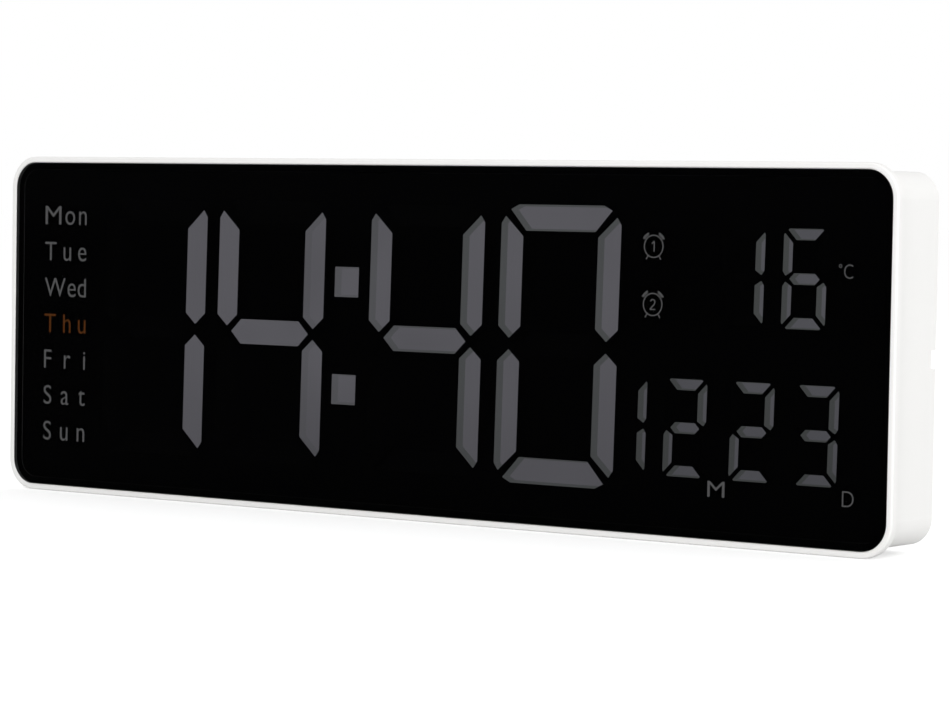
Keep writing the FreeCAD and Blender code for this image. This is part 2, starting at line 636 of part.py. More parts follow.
def segment_outlines(size):
    """Outline the seven strokes of an upright figure about its middle.

    size is the first word of the figure's size names, time or small.
    """
    half_w = value(size + "_width") / 2
    half_h = value(size + "_height") / 2
    stem = value(size + "_upright")
    bar = value(size + "_level")

    def share(name):
        """One of the figure's end shares, as a length."""
        return stem * value("%s_%s" % (size, name))

    nose_in, nose_drop = share("bar_nose_in"), share("bar_nose_drop")
    outer_in, inner_in = share("bar_outer_in"), share("bar_inner_in")
    stem_in, stem_drop = share("stem_nose_in"), share("stem_nose_drop")
    outer_drop, inner_drop = share("stem_outer_drop"), share("stem_inner_drop")
    waist_in, waist, shoulder = share("waist_in"), share("waist_nose"), share("waist_shoulder")
    middle_in, middle_flat = share("middle_nose_in"), share("middle_shoulder_in")

    top = [
        (-half_w + nose_in, half_h - nose_drop),
        (-half_w + inner_in, half_h - bar),
        (half_w - inner_in, half_h - bar),
        (half_w - nose_in, half_h - nose_drop),
        (half_w - outer_in, half_h),
        (-half_w + outer_in, half_h),
    ]
    upper_right = [
        (half_w - stem, half_h - inner_drop),
        (half_w - stem, shoulder),
        (half_w - waist_in, waist),
        (half_w, shoulder),
        (half_w, half_h - outer_drop),
        (half_w - stem_in, half_h - stem_drop),
    ]
    middle = [
        (-half_w + middle_in, 0),
        (-half_w + middle_flat, -bar / 2),
        (half_w - middle_flat, -bar / 2),
        (half_w - middle_in, 0),
        (half_w - middle_flat, bar / 2),
        (-half_w + middle_flat, bar / 2),
    ]
    flip = {
        "upside down": lambda points: [(u, -v) for u, v in reversed(points)],
        "left to right": lambda points: [(-u, v) for u, v in reversed(points)],
    }
    upper_left = flip["left to right"](upper_right)
    return {
        "a": top,
        "b": upper_right,
        "c": flip["upside down"](upper_right),
        "d": flip["upside down"](top),
        "e": flip["upside down"](upper_left),
        "f": upper_left,
        "g": middle,
    }


def placed(outline, x, z):
    """Lean an outline and set its middle at x, z."""
    lean = math.tan(math.radians(value("figure_slant")))
    return [(x + u + v * lean, z + v) for u, v in outline]


def square(x, z, width, height):
    """Outline a rectangle about its middle, leaning like the figures."""
    half_w, half_h = width / 2, height / 2
    return placed([(-half_w, -half_h), (half_w, -half_h), (half_w, half_h), (-half_w, half_h)], x, z)


def narrowed(outline, amount):
    """Move every side of a convex outline inwards by the same amount."""
    result = []
    count = len(outline)
    for index in range(count):
        before, here, after = outline[index - 1], outline[index], outline[(index + 1) % count]
        lines = []
        for start, end in ((before, here), (here, after)):
            du, dv = end[0] - start[0], end[1] - start[1]
            length = math.hypot(du, dv)
            normal = (-dv / length, du / length)
            lines.append((normal, normal[0] * here[0] + normal[1] * here[1] + amount))
        (n1, d1), (n2, d2) = lines
        turn = n1[0] * n2[1] - n1[1] * n2[0]
        result.append(((d1 * n2[1] - d2 * n1[1]) / turn, (n1[0] * d2 - n2[0] * d1) / turn))
    return result


def wire(outline, y):
    """Close an outline as a wire at depth y."""
    points = [V(u, y, v) for u, v in outline]
    return Part.makePolygon(points + points[:1])


def cup(outline, front, flare):
    """A flared cup: a prism with a recess that narrows by flare towards a flat floor."""
    floor = front + value("cup_recess")
    rear = floor + value("cup_floor")
    inside = narrowed(outline, flare)
    faces = [Part.Face(wire(outline, rear)), Part.Face(wire(inside, floor))]
    count = len(outline)
    for index in range(count):
        following = (index + 1) % count
        for near, far, y in ((outline, outline, rear), (outline, inside, floor)):
            corners = [
                V(near[index][0], front, near[index][1]),
                V(near[following][0], front, near[following][1]),
                V(far[following][0], y, far[following][1]),
                V(far[index][0], y, far[index][1]),
            ]
            faces.append(Part.Face(Part.makePolygon(corners + corners[:1])))
    return Part.makeSolid(Part.makeShell(faces))


def plate(outline, front, thickness):
    """A flat plate with the given outline."""
    return Part.Face(wire(outline, front)).extrude(V(0, thickness, 0))


mid = value(MID)
frame_front = value(LEDGE)

time_cups = {"lit": [], "dark": []}
small_cups = {"lit": [], "dark": []}
windows = []
lamp_places = []


def add_figure(cups, size, x, z, shown, present):
    """Add the cups, the frame's windows and the lamps of one figure."""
    for letter, outline in segment_outlines(size).items():
        if letter not in present:
            continue
        outline = placed(outline, x, z)
        windows.append(outline)
        state = "lit" if letter in LIT[shown] else "dark"
        cups[state].append(cup(outline, frame_front, value(size + "_flare")))
        middle_u = sum(point[0] for point in outline) / len(outline)
        middle_v = sum(point[1] for point in outline) / len(outline)
        lamp_places.append((middle_u, middle_v, letter in "adg"))


for x, shown in TIME_FIGURES:
    add_figure(time_cups, "time", value(across(x)), mid + value("time_rise"), shown, "abcdefg")
for x, z, shown in SMALL_FIGURES:
    present = "bc" if x == "month_tens_x" else "abcdefg"
    add_figure(small_cups, "small", value(across(x)), mid + value(z), shown, present)

colon_cups = []
for name in ("colon_upper_z", "colon_lower_z"):
    rise = value(name)
    lean = math.tan(math.radians(value("figure_slant")))
    x = value(across("colon_x")) + rise * lean
    outline = square(x, mid + rise, value("colon_side"), value("colon_side"))
    windows.append(outline)
    colon_cups.append(cup(outline, frame_front, value("time_flare")))
    lamp_places.append((x, mid + rise, True))

time_segments_lit = solid_piece("time_segments_lit", time_cups["lit"])
time_segments_dark = solid_piece("time_segments_dark", time_cups["dark"])
small_segments_lit = solid_piece("small_segments_lit", small_cups["lit"])
small_segments_dark = solid_piece("small_segments_dark", small_cups["dark"])
colon_lights = solid_piece("colon_lights", colon_cups)

# Legend plates: weekday names, alarm symbols, temperature unit, month and day letters

LEGENDS = [
    ("weekday_x", "weekday_top_z - %d * weekday_pitch" % row, "weekday_plate_width", "weekday_plate_height")
    for row in range(7)
]
LEGENDS += [
    ("bell_x", "bell_upper_z", "bell_plate_width", "bell_plate_height"),
    ("bell_x", "bell_lower_z", "bell_plate_width", "bell_plate_height"),
    ("degree_x", "degree_z", "unit_plate_side", "unit_plate_side"),
    ("month_letter_x", "letter_z", "unit_plate_side", "unit_plate_side"),
    ("day_letter_x", "letter_z", "unit_plate_side", "unit_plate_side"),
]

legend_shapes = []
for x, z, width, height in LEGENDS:
    x, z = value(across(x)), mid + value(z)
    outline = square(x, z, value(width), value(height))
    windows.append(outline)
    legend_shapes.append(plate(outline, frame_front, value("legend_thickness")))
    lamp_places.append((x, z, True))
legend_plates = solid_piece("legend_plates", legend_shapes)


def rounded_wire(width, height, radius, y):
    """A rectangle with round corners, about mid-height, at depth y."""
    half_w, half_h, r = width / 2, height / 2, radius
    k = r * (1 - math.sqrt(0.5))
    edges = []
    for su, sv in ((1, 1), (-1, 1), (-1, -1), (1, -1)):
        ends = [V(su * half_w, y, mid + sv * (half_h - r)), V(su * (half_w - r), y, mid + sv * half_h)]
        if su * sv < 0:
            ends.reverse()
        bow = V(su * (half_w - k), y, mid + sv * (half_h - k))
        edges.append(Part.Arc(ends[0], bow, ends[1]).toShape())
    lines = []
    for index, edge in enumerate(edges):
        start = edge.valueAt(edge.LastParameter)
        following = edges[(index + 1) % 4]
        lines.append(Part.makeLine(start, following.valueAt(following.FirstParameter)))
    return Part.Wire([item for pair in zip(edges, lines) for item in pair])


# Light frame: a black plate with one window for each cup and legend

BOARD_SCREWS = [
    (x, "%s + %s * (%s / 2 - board_screw_inset)" % (MID, side, PLATE_H))
    for x in ("(%s + weekday_plate_width / 2 + board_screw_left)" % across("weekday_x"),
              "(%s - bell_plate_width / 2 - board_screw_right)" % across("bell_x"))
    for side in ("-1", "1")
]

frame_edge = rounded_wire(value(PLATE_W), value(PLATE_H), value(PLATE_R), frame_front)
frame_wires = [frame_edge] + [wire(outline, frame_front) for outline in windows]
frame_shape = Part.makeFace(frame_wires, "Part::FaceMakerBullseye").extrude(V(0, value("frame_depth"), 0))
frame_plate = solid_piece("frame_plate", [frame_shape])
frame_pilots = gathered("Part::Compound", "frame_pilots", [
    faceted_object("frame_pilot_%d" % number, x, z, BOARD_FRONT + " - small_screw_length", BOARD_FRONT,
                   "small_screw_radius + thread_clearance")
    for number, (x, z) in enumerate(BOARD_SCREWS, start=1)])
light_frame = remainder("light_frame", frame_plate, frame_pilots)

# Display board, its lamps and its driver chips

display_board = new_body("display_board")
pad(display_board, "laminate", BOARD_FRONT, BOARD_REAR,
    (draw_rectangle, "0", MID, PLATE_W, PLATE_H, PLATE_R))
cut(display_board, "screw_holes", BOARD_FRONT, BOARD_REAR,
    *[(draw_circle, x, z, "small_screw_radius + screw_clearance") for x, z in BOARD_SCREWS])

lamps = []
for u, v, level in lamp_places:
    long_side, short_side = value("lamp_length"), value("lamp_width")
    width, height = (long_side, short_side) if level else (short_side, long_side)
    lamp_front = value(BOARD_FRONT) - value("lamp_height")
    corner = V(u - width / 2, lamp_front, v - height / 2)
    lamps.append(Part.makeBox(width, value("lamp_height"), height, corner))
segment_lamps = solid_piece("segment_lamps", lamps)

CHIP_PLACES = [across("hour_tens_x"), across("minute_tens_x")]
gathered("Part::Compound", "driver_chips", [
    box_object("chip_%d" % number, x + " - chip_length / 2", x + " + chip_length / 2", BOARD_REAR,
               BOARD_REAR + " + chip_height", MID + " - chip_drop - chip_width", MID + " - chip_drop")
    for number, x in enumerate(CHIP_PLACES, start=1)])


def plain_screws(label, places, seat, turned, radius, head_radius, head_height, length):
    """Screws with flat heads on a seat. They point to the front, or to the back if turned."""
    screws = []
    for number, (x, z) in enumerate(places, start=1):
        name = "%s_%d" % (label, number)
        if turned:
            ends = ("%s - %s" % (seat, head_height), seat, "%s + %s" % (seat, length))
            radii = (head_radius, radius)
        else:
            ends = ("%s - %s" % (seat, length), seat, "%s + %s" % (seat, head_height))
            radii = (radius, head_radius)
        screws.append(gathered("Part::MultiFuse", name, [
            faceted_object(name + "_front", x, z, ends[0], ends[1], radii[0]),
            faceted_object(name + "_rear", x, z, ends[1], ends[2], radii[1])]))
    return gathered("Part::Compound", label, screws)


SMALL_SCREW = ("small_screw_radius", "small_screw_head_radius", "small_screw_head_height",
               "small_screw_length")
COVER_SCREW = ("screw_radius", "screw_head_radius", "screw_head_height", "screw_length")

plain_screws("board_screws", BOARD_SCREWS, BOARD_REAR, False, *SMALL_SCREW)

# Control board: switches, buzzer, clock chip, power jack on a tongue of the board

CONTROL_POSTS = [
    (CONTROL_LEFT + " + post_inset", MID + " + control_bottom + post_inset"),
    (CONTROL_RIGHT + " - post_inset", MID + " + control_top - post_inset"),
]
KEY_NAMES = ["mode_key", "up_key", "down_key", "alarm_key"]
KEY_Z = MID + " + key_z"
TONGUE_RIGHT = "(%s - tub_wall - inner_clearance)" % INLET_LEFT
TONGUE_LEFT = "(%s - tongue_overlap)" % CONTROL_RIGHT

control_board = new_body("control_board")
pad(control_board, "laminate_main", CONTROL_FRONT, CONTROL_REAR,
    (draw_rectangle, CONTROL_LEFT + " + control_length / 2", MID + " + (control_bottom + control_top) / 2",
     "control_length", "control_top - control_bottom"))
pad(control_board, "laminate_tongue", CONTROL_FRONT, CONTROL_REAR,
    (draw_rectangle, "(%s + %s) / 2" % (TONGUE_LEFT, TONGUE_RIGHT),
     MID + " + (control_bottom + tongue_bottom) / 2",
     "%s - %s" % (TONGUE_RIGHT, TONGUE_LEFT), "control_bottom - tongue_bottom + 2 * board_thickness"))
cut(control_board, "post_holes", CONTROL_FRONT, CONTROL_REAR,
    *[(draw_circle, x, z, "small_screw_radius + screw_clearance") for x, z in CONTROL_POSTS])

plain_screws("control_screws", CONTROL_POSTS, CONTROL_FRONT, True, *SMALL_SCREW)

KEY_FLANGE_REAR = "(%s - key_play)" % COVER_FRONT
KEY_FLANGE_FRONT = "(%s - key_flange_thickness)" % KEY_FLANGE_REAR
PLUNGER_TOP = "(%s - key_reach)" % KEY_FLANGE_FRONT
SWITCH_REAR = CONTROL_REAR + " + switch_height"

switches = []
for index in range(len(KEY_NAMES)):
    x = "(%s + %d * key_pitch)" % (KEY_X, index)
    housing_box = box_object("switch_case_%d" % index, x + " - switch_side / 2", x + " + switch_side / 2",
                             CONTROL_REAR, SWITCH_REAR,
                             KEY_Z + " - switch_side / 2", KEY_Z + " + switch_side / 2")
    plunger = box_object("switch_plunger_%d" % index, x + " - plunger_side / 2", x + " + plunger_side / 2",
                         SWITCH_REAR, PLUNGER_TOP,
                         KEY_Z + " - plunger_side / 2", KEY_Z + " + plunger_side / 2")
    switches.append(gathered("Part::MultiFuse", "switch_%d" % index, [housing_box, plunger]))
gathered("Part::Compound", "key_switches", switches)

BUZZER_Z = MID + " + buzzer_z"
BUZZER_REAR = CONTROL_REAR + " + buzzer_height"
buzzer = box_object("buzzer", BUZZER_X + " - buzzer_side / 2", BUZZER_X + " + buzzer_side / 2",
                    CONTROL_REAR, BUZZER_REAR,
                    BUZZER_Z + " - buzzer_side / 2", BUZZER_Z + " + buzzer_side / 2")

CHIP_X = "(%s + clock_chip_in)" % CONTROL_LEFT
CHIP_Z = "(%s + control_bottom + clock_chip_up)" % MID
clock_chip = box_object("clock_chip", CHIP_X + " - clock_chip_side / 2", CHIP_X + " + clock_chip_side / 2",
                        CONTROL_REAR, CONTROL_REAR + " + clock_chip_height",
                        CHIP_Z + " - clock_chip_side / 2", CHIP_Z + " + clock_chip_side / 2")
timing_crystal = axle_object("timing_crystal", CHIP_X + " + clock_chip_side",
                             CHIP_X + " + clock_chip_side + crystal_length",
                             CONTROL_REAR + " + crystal_radius", CHIP_Z, "crystal_radius")
power_capacitor = rod_object("power_capacitor", CONTROL_RIGHT + " - capacitor_in",
                             MID + " + control_bottom + capacitor_up",
                             CONTROL_REAR, CONTROL_REAR + " + capacitor_height", "capacitor_radius")
SENSOR_X = "(%s - sensor_in)" % CONTROL_RIGHT
SENSOR_Z = "(%s + control_top - sensor_down)" % MID
temperature_sensor = box_object("temperature_sensor",
                                SENSOR_X + " - sensor_side / 2", SENSOR_X + " + sensor_side / 2",
                                CONTROL_REAR, COVER_FRONT + " - inner_clearance",
                                SENSOR_Z + " - sensor_side / 2", SENSOR_Z + " + sensor_side / 2")

# Header that joins the two boards

HEADER_X = "(%s + header_in)" % CONTROL_LEFT
HEADER_Z = "(%s + control_bottom + header_up)" % MID
board_header = box_object("board_header",
                          HEADER_X + " - header_length / 2", HEADER_X + " + header_length / 2",
                          BOARD_REAR, CONTROL_FRONT,
                          HEADER_Z + " - header_width / 2", HEADER_Z + " + header_width / 2")

# Power jack, flush with the end wall of the plug pocket

jack_case = box_object("jack_case", INLET_LEFT + " - jack_length", INLET_LEFT, CONTROL_REAR,
                       CONTROL_REAR + " + jack_width", MID + " - jack_height / 2", MID + " + jack_height / 2")
jack_bore = axle_object("jack_bore", INLET_LEFT + " - jack_bore_depth", INLET_LEFT, JACK_AXIS_Y, MID,
                        "jack_bore_radius")
jack_pin = axle_object("jack_pin", INLET_LEFT + " - jack_bore_depth - jack_pin_root",
                       INLET_LEFT + " - jack_pin_short", JACK_AXIS_Y, MID, "jack_pin_radius")
gathered("Part::MultiFuse", "dc_jack", [remainder("jack_shell", jack_case, jack_bore), jack_pin])

# Rear cover: a plate with keyholes, key windows, a leg bay, a coin cell bay, a plug
# pocket with its cable channel, sound holes, and posts for the control board

LEG_AXIS_Z = "(%s + leg_axis_z)" % MID
LEG_AXIS_Y = "(%s - barrel_radius - barrel_gap)" % COVER_REAR
LEG_BAY_FLOOR = "(%s - barrel_radius - barrel_gap)" % LEG_AXIS_Y
LEG_BAY_W = "(leg_width + 2 * leg_side_gap)"
LEG_BAY_TOP = "(%s + heel_reach + barrel_gap)" % LEG_AXIS_Z
LEG_END = "(%s - leg_length)" % LEG_AXIS_Z
PAD_END = "(%s - pad_thickness)" % LEG_END
BAY_END = "(%s - finger_gap)" % PAD_END
CELL_Z = "(%s + cell_z)" % MID
CELL_FLOOR = "(%s - door_thickness - cell_gap - cell_thickness - contact_thickness)" % COVER_REAR
DOOR_FRONT = "(%s - door_thickness)" % COVER_REAR
DOOR_X = "(cell_x + (door_width - door_height) / 2)"
DOOR_SCREW_X = "(%s + door_width / 2 - door_screw_in)" % DOOR_X
CELL_TUB_SIDE = "2 * (cell_radius + cell_gap + tub_wall)"
INLET_X = "(%s + inlet_length / 2)" % INLET_LEFT
INLET_FLOOR = "(%s - jack_width / 2 - plug_margin)" % JACK_AXIS_Y
CHANNEL_LEFT = "(%s + inlet_length)" % INLET_LEFT
CHANNEL_RIGHT = "(%s / 2)" % PLATE_W
CHANNEL_X = "((%s + %s) / 2)" % (CHANNEL_LEFT, CHANNEL_RIGHT)
CHANNEL_FLOOR = "(%s - notch_depth - channel_extra)" % REAR
KEYHOLE_Z = "(%s + keyhole_z)" % MID
KEYHOLES = [("%s * keyhole_x" % side, KEYHOLE_Z) for side in ("-1", "1")]
KEY_ROW_X = "(%s + %d * key_pitch / 2)" % (KEY_X, len(KEY_NAMES) - 1)
KEY_ROW_W = "(%d * key_pitch + key_width + 2 * key_flange + 2 * guide_gap)" % (len(KEY_NAMES) - 1)
KEY_ROW_H = "(key_height + 2 * key_flange + 2 * guide_gap)"
SOUND_SLOTS = ["%s + %d * sound_slot_pitch" % (BUZZER_Z, step) for step in (-1, 0, 1)]

rear_cover = new_body("rear_cover")
pad(rear_cover, "cover_plate", COVER_FRONT, COVER_REAR,
    (draw_rectangle, "0", MID, PLATE_W, PLATE_H, PLATE_R))
for number, (x, z) in enumerate(KEYHOLES, start=1):
    pad(rear_cover, "keyhole_cup_%d" % number, COVER_FRONT + " - keyhole_depth - tub_wall", COVER_FRONT,
        (draw_rectangle, x, z + " + keyhole_rise / 2", "2 * (keyhole_entry_radius + tub_wall)",
         "keyhole_rise + 2 * (keyhole_entry_radius + tub_wall)"))
pad(rear_cover, "leg_bay_tub", LEG_BAY_FLOOR + " - tub_wall", COVER_FRONT,
    (draw_rectangle, "0", "(%s + %s) / 2" % (LEG_BAY_TOP, BAY_END), LEG_BAY_W + " + 2 * leg_bay_wall",
     "%s - %s + 2 * tub_wall" % (LEG_BAY_TOP, BAY_END)))
pad(rear_cover, "cell_tub", CELL_FLOOR + " - tub_wall", COVER_FRONT,
    (draw_rectangle, "cell_x", CELL_Z, CELL_TUB_SIDE, CELL_TUB_SIDE))
pad(rear_cover, "door_seat_pad", DOOR_FRONT + " - door_seat", COVER_FRONT,
    (draw_rectangle, DOOR_X, CELL_Z, "door_width + 2 * door_seat", "door_height + 2 * door_seat"))
pad(rear_cover, "door_screw_post",
    DOOR_FRONT + " - small_screw_length - pilot_extra - post_floor", COVER_FRONT,
    (draw_rectangle, DOOR_SCREW_X, CELL_Z, "boss_side", "boss_side"))
pad(rear_cover, "plug_tub", INLET_FLOOR + " - tub_wall", COVER_FRONT,
    (draw_rectangle, INLET_X, MID, "inlet_length + 2 * tub_wall", "inlet_height + 2 * tub_wall"))
pad(rear_cover, "channel_tub", CHANNEL_FLOOR + " - tub_wall", COVER_FRONT,
    (draw_rectangle, CHANNEL_X, NOTCH_Z, "%s - %s" % (CHANNEL_RIGHT, CHANNEL_LEFT),
     "notch_height + 2 * tub_wall"))
for number, (x, z) in enumerate(CONTROL_POSTS, start=1):
    pad(rear_cover, "control_post_%d" % number, CONTROL_REAR, COVER_FRONT,
        (draw_rectangle, x, z, "boss_side", "boss_side"))
pad(rear_cover, "key_guide", CONTROL_REAR + " + inner_clearance", COVER_FRONT,
    (draw_rectangle, KEY_ROW_X, KEY_Z, KEY_ROW_W, KEY_ROW_H),
    (draw_rectangle, KEY_ROW_X, KEY_Z, KEY_ROW_W + " + 2 * guide_wall", KEY_ROW_H + " + 2 * guide_wall"))

cut(rear_cover, "screw_holes", COVER_FRONT, COVER_REAR,
    *[(draw_circle, x, z, "screw_radius + screw_clearance") for x, z in BOSSES])
cut(rear_cover, "post_pilots", CONTROL_REAR,
    CONTROL_FRONT + " + small_screw_length + pilot_extra",
    *[(draw_circle, x, z, "small_screw_radius + thread_clearance") for x, z in CONTROL_POSTS])
cut(rear_cover, "keyhole_entries", COVER_FRONT, COVER_REAR,
    *[(draw_circle, x, z, "keyhole_entry_radius") for x, z in KEYHOLES])
cut(rear_cover, "keyhole_slots", COVER_FRONT, COVER_REAR,
    *[(draw_rectangle, x, z + " + keyhole_rise / 2", "keyhole_slot_width", "keyhole_rise")
      for x, z in KEYHOLES])
cut(rear_cover, "keyhole_slot_ends", COVER_FRONT, COVER_REAR,
    *[(draw_circle, x, z + " + keyhole_rise", "keyhole_slot_width / 2") for x, z in KEYHOLES])
cut(rear_cover, "keyhole_rooms", COVER_FRONT + " - keyhole_depth", COVER_FRONT,
    *[(draw_rectangle, x, z + " + keyhole_rise / 2", "2 * keyhole_entry_radius",
       "keyhole_rise + 2 * keyhole_entry_radius") for x, z in KEYHOLES])
cut(rear_cover, "leg_bay", LEG_BAY_FLOOR, COVER_REAR,
    (draw_rectangle, "0", "(%s + %s - pad_play) / 2" % (LEG_BAY_TOP, PAD_END), LEG_BAY_W,
     "%s - %s + pad_play" % (LEG_BAY_TOP, PAD_END)))
cut(rear_cover, "finger_room", LEG_BAY_FLOOR, COVER_REAR,
    (draw_rectangle, "0", "(%s + %s) / 2" % (BAY_END, PAD_END), "finger_width",
     "%s - %s" % (PAD_END, BAY_END)))
cut(rear_cover, "cell_bay", CELL_FLOOR, COVER_REAR,
    (draw_circle, "cell_x", CELL_Z, "cell_radius + cell_gap"))
cut(rear_cover, "door_rebate", DOOR_FRONT, COVER_REAR,
    (draw_rectangle, DOOR_X, CELL_Z, "door_width + 2 * door_gap", "door_height + 2 * door_gap"))
cut(rear_cover, "door_pilot", DOOR_FRONT + " - small_screw_length - pilot_extra", DOOR_FRONT,
    (draw_circle, DOOR_SCREW_X, CELL_Z, "small_screw_radius + thread_clearance"))
cut(rear_cover, "plug_pocket", INLET_FLOOR, COVER_REAR,
    (draw_rectangle, INLET_X, MID, "inlet_length", "inlet_height"))
cut(rear_cover, "jack_window", CONTROL_REAR, CONTROL_REAR + " + jack_width",
    (draw_rectangle, INLET_LEFT + " - tub_wall / 2", MID, "tub_wall", "jack_height"))
cut(rear_cover, "cable_channel", CHANNEL_FLOOR, COVER_REAR,
    (draw_rectangle, CHANNEL_X, NOTCH_Z, "%s - %s" % (CHANNEL_RIGHT, CHANNEL_LEFT), "notch_height"))
cut(rear_cover, "key_windows", COVER_FRONT, COVER_REAR,
    *[(draw_rectangle, "%s + %d * key_pitch" % (KEY_X, index), KEY_Z, "key_width + 2 * key_gap",
       "key_height + 2 * key_gap") for index in range(len(KEY_NAMES))])
cut(rear_cover, "sound_slots", COVER_FRONT, COVER_REAR,
    *[(draw_rectangle, BUZZER_X, z, "sound_slot_length", "sound_slot_width") for z in SOUND_SLOTS])

plain_screws("cover_screws", BOSSES, COVER_REAR, False, *COVER_SCREW)

# Keys: a cap in its window and a flange that keeps it in

for index, label in enumerate(KEY_NAMES):
    x = "(%s + %d * key_pitch)" % (KEY_X, index)
    key = new_body(label)
    pad(key, label + "_flange", KEY_FLANGE_FRONT, KEY_FLANGE_REAR,
        (draw_rectangle, x, KEY_Z, "key_width + 2 * key_flange", "key_height + 2 * key_flange"))
    pad(key, label + "_cap", KEY_FLANGE_REAR, COVER_REAR + " + key_proud",
        (draw_rectangle, x, KEY_Z, "key_width", "key_height"))
    crown = value(COVER_REAR + " + key_proud")
    chamfer_edges(key, label + "_crown", "key_chamfer", lambda edge: lies_at(edge, crown))

# Coin cell, its contacts, and the door that its screw holds down

CONTACT_REAR = "(%s + contact_thickness)" % CELL_FLOOR
contact_leaf = box_object("cell_contact", "cell_x - contact_width / 2", "cell_x + contact_width / 2",
                          CELL_FLOOR, CONTACT_REAR,
                          CELL_Z + " - contact_length / 2", CELL_Z + " + contact_length / 2")
coin_cell = rod_object("coin_cell", "cell_x", CELL_Z, CONTACT_REAR, CONTACT_REAR + " + cell_thickness",
                       "cell_radius")

battery_door = new_body("battery_door")
pad(battery_door, "door_plate", DOOR_FRONT, COVER_REAR,
    (draw_rectangle, DOOR_X, CELL_Z, "door_width", "door_height"))
cut(battery_door, "door_screw_sinking", COVER_REAR + " - door_sink", COVER_REAR,
    (draw_circle, DOOR_SCREW_X, CELL_Z, "small_screw_head_radius + screw_clearance"))
cut(battery_door, "door_screw_hole", DOOR_FRONT, COVER_REAR,
    (draw_circle, DOOR_SCREW_X, CELL_Z, "small_screw_radius + screw_clearance"))
plain_screws("battery_door_screw", [(DOOR_SCREW_X, CELL_Z)], COVER_REAR + " - door_sink", False,
             "small_screw_radius", "small_screw_head_radius", "door_sink", "small_screw_length")

# Folding leg: a ribbed plate with a knuckle and a stop heel, its pin and its rubber end

leg_parts = [
    box_object("leg_plate", "-leg_width / 2", "leg_width / 2", LEG_AXIS_Y + " - leg_thickness / 2",
               LEG_AXIS_Y + " + leg_thickness / 2", LEG_END, LEG_AXIS_Z),
    axle_object("leg_barrel", "-leg_width / 2", "leg_width / 2", LEG_AXIS_Y, LEG_AXIS_Z, "barrel_radius"),
    box_object("leg_heel", "-leg_width / 4", "leg_width / 4", LEG_AXIS_Y + " - heel_thickness / 2",
               LEG_AXIS_Y + " + heel_thickness / 2", LEG_AXIS_Z, LEG_AXIS_Z + " + heel_reach"),
]
leg_blank = gathered("Part::MultiFuse", "leg_blank", leg_parts)
RIB_BAYS = 4
BAY_PITCH = "((leg_width - leg_rib_width) / %d)" % RIB_BAYS
leg_cuts = [axle_object("leg_bore", "-leg_width / 2", "leg_width / 2", LEG_AXIS_Y, LEG_AXIS_Z,
                        "pin_radius + pin_clearance")]
for index in range(RIB_BAYS):
    left = "(-leg_width / 2 + leg_rib_width + %d * %s)" % (index, BAY_PITCH)
    leg_cuts.append(box_object(
        "leg_rib_bay_%d" % index, left, "%s + %s - leg_rib_width" % (left, BAY_PITCH),
        LEG_AXIS_Y + " - leg_thickness / 2", LEG_AXIS_Y + " - leg_thickness / 2 + leg_rib",
        LEG_END + " + 2 * leg_rib_width", LEG_AXIS_Z + " - barrel_radius - leg_rib_width"))
leg_tool = gathered("Part::MultiFuse", "leg_cuts", leg_cuts)
stand_leg = remainder("stand_leg", leg_blank, leg_tool)

PIN_LEFT = "(-%s / 2 - pin_seat)" % LEG_BAY_W
PIN_RIGHT = "(%s / 2 + pin_seat)" % LEG_BAY_W
stand_pin = axle_object("stand_pin", PIN_LEFT, PIN_RIGHT, LEG_AXIS_Y, LEG_AXIS_Z, "pin_radius")
stand_pad = box_object("stand_pad", "-pad_width / 2", "pad_width / 2", LEG_AXIS_Y + " - leg_thickness / 2",
                       LEG_AXIS_Y + " + leg_thickness / 2", PAD_END, LEG_END)

# The pin's seats in the side walls of the leg bay

pin_seats = axle_object("pin_seats", PIN_LEFT, PIN_RIGHT, LEG_AXIS_Y, LEG_AXIS_Z, "pin_radius")
doc.recompute()
rear_cover.Label = "rear_cover_moulding"
bored_cover = remainder("rear_cover", rear_cover, pin_seats)
bored_cover.Label = "rear_cover"

# Rubber feet that fill the step under the wall

FOOT_X = "(clock_width / 2 - foot_side)"
foot_rear = REAR + " - foot_back"
gathered("Part::Compound", "rubber_feet", [
    box_object("foot_%s" % name, "%s - foot_length / 2" % x, "%s + foot_length / 2" % x,
               foot_rear + " - foot_width", foot_rear, "0", "wall_step")
    for name, x in (("left", "-1 * " + FOOT_X), ("right", FOOT_X))])

# Check every object and write each piece to its own file

PIECES = [
    "housing", "front_panel", "panel_tape", "light_frame", "time_segments_lit", "time_segments_dark",
    "small_segments_lit", "small_segments_dark", "colon_lights", "legend_plates", "display_board",
    "segment_lamps", "driver_chips", "board_screws", "control_board", "control_screws", "key_switches",
    "buzzer", "clock_chip", "timing_crystal", "power_capacitor", "temperature_sensor", "board_header",
    "dc_jack", "rear_cover", "cover_screws", "mode_key", "up_key", "down_key", "alarm_key", "cell_contact",
    "coin_cell", "battery_door", "battery_door_screw", "stand_leg", "stand_pin", "stand_pad", "rubber_feet",
]

doc.recompute()
for item in doc.Objects:
    if "Invalid" in item.State or "Error" in item.State:
        raise RuntimeError("%s failed: %s" % (item.Label, item.State))

os.makedirs("parts", exist_ok=True)
for label in PIECES:
    piece = doc.getObjectsByLabel(label)[0]
    shape = piece.Shape
    if shape.isNull() or not shape.isValid() or not shape.Solids:
        raise RuntimeError("%s has no valid solid" % label)
    shape.exportStep("parts/%s.step" % label)
    box = shape.BoundBox
    print("%-22s %3d solids %10.1f mm3  y %6.2f to %6.2f" % (
        label, len(shape.Solids), shape.Volume, box.YMin, box.YMax))
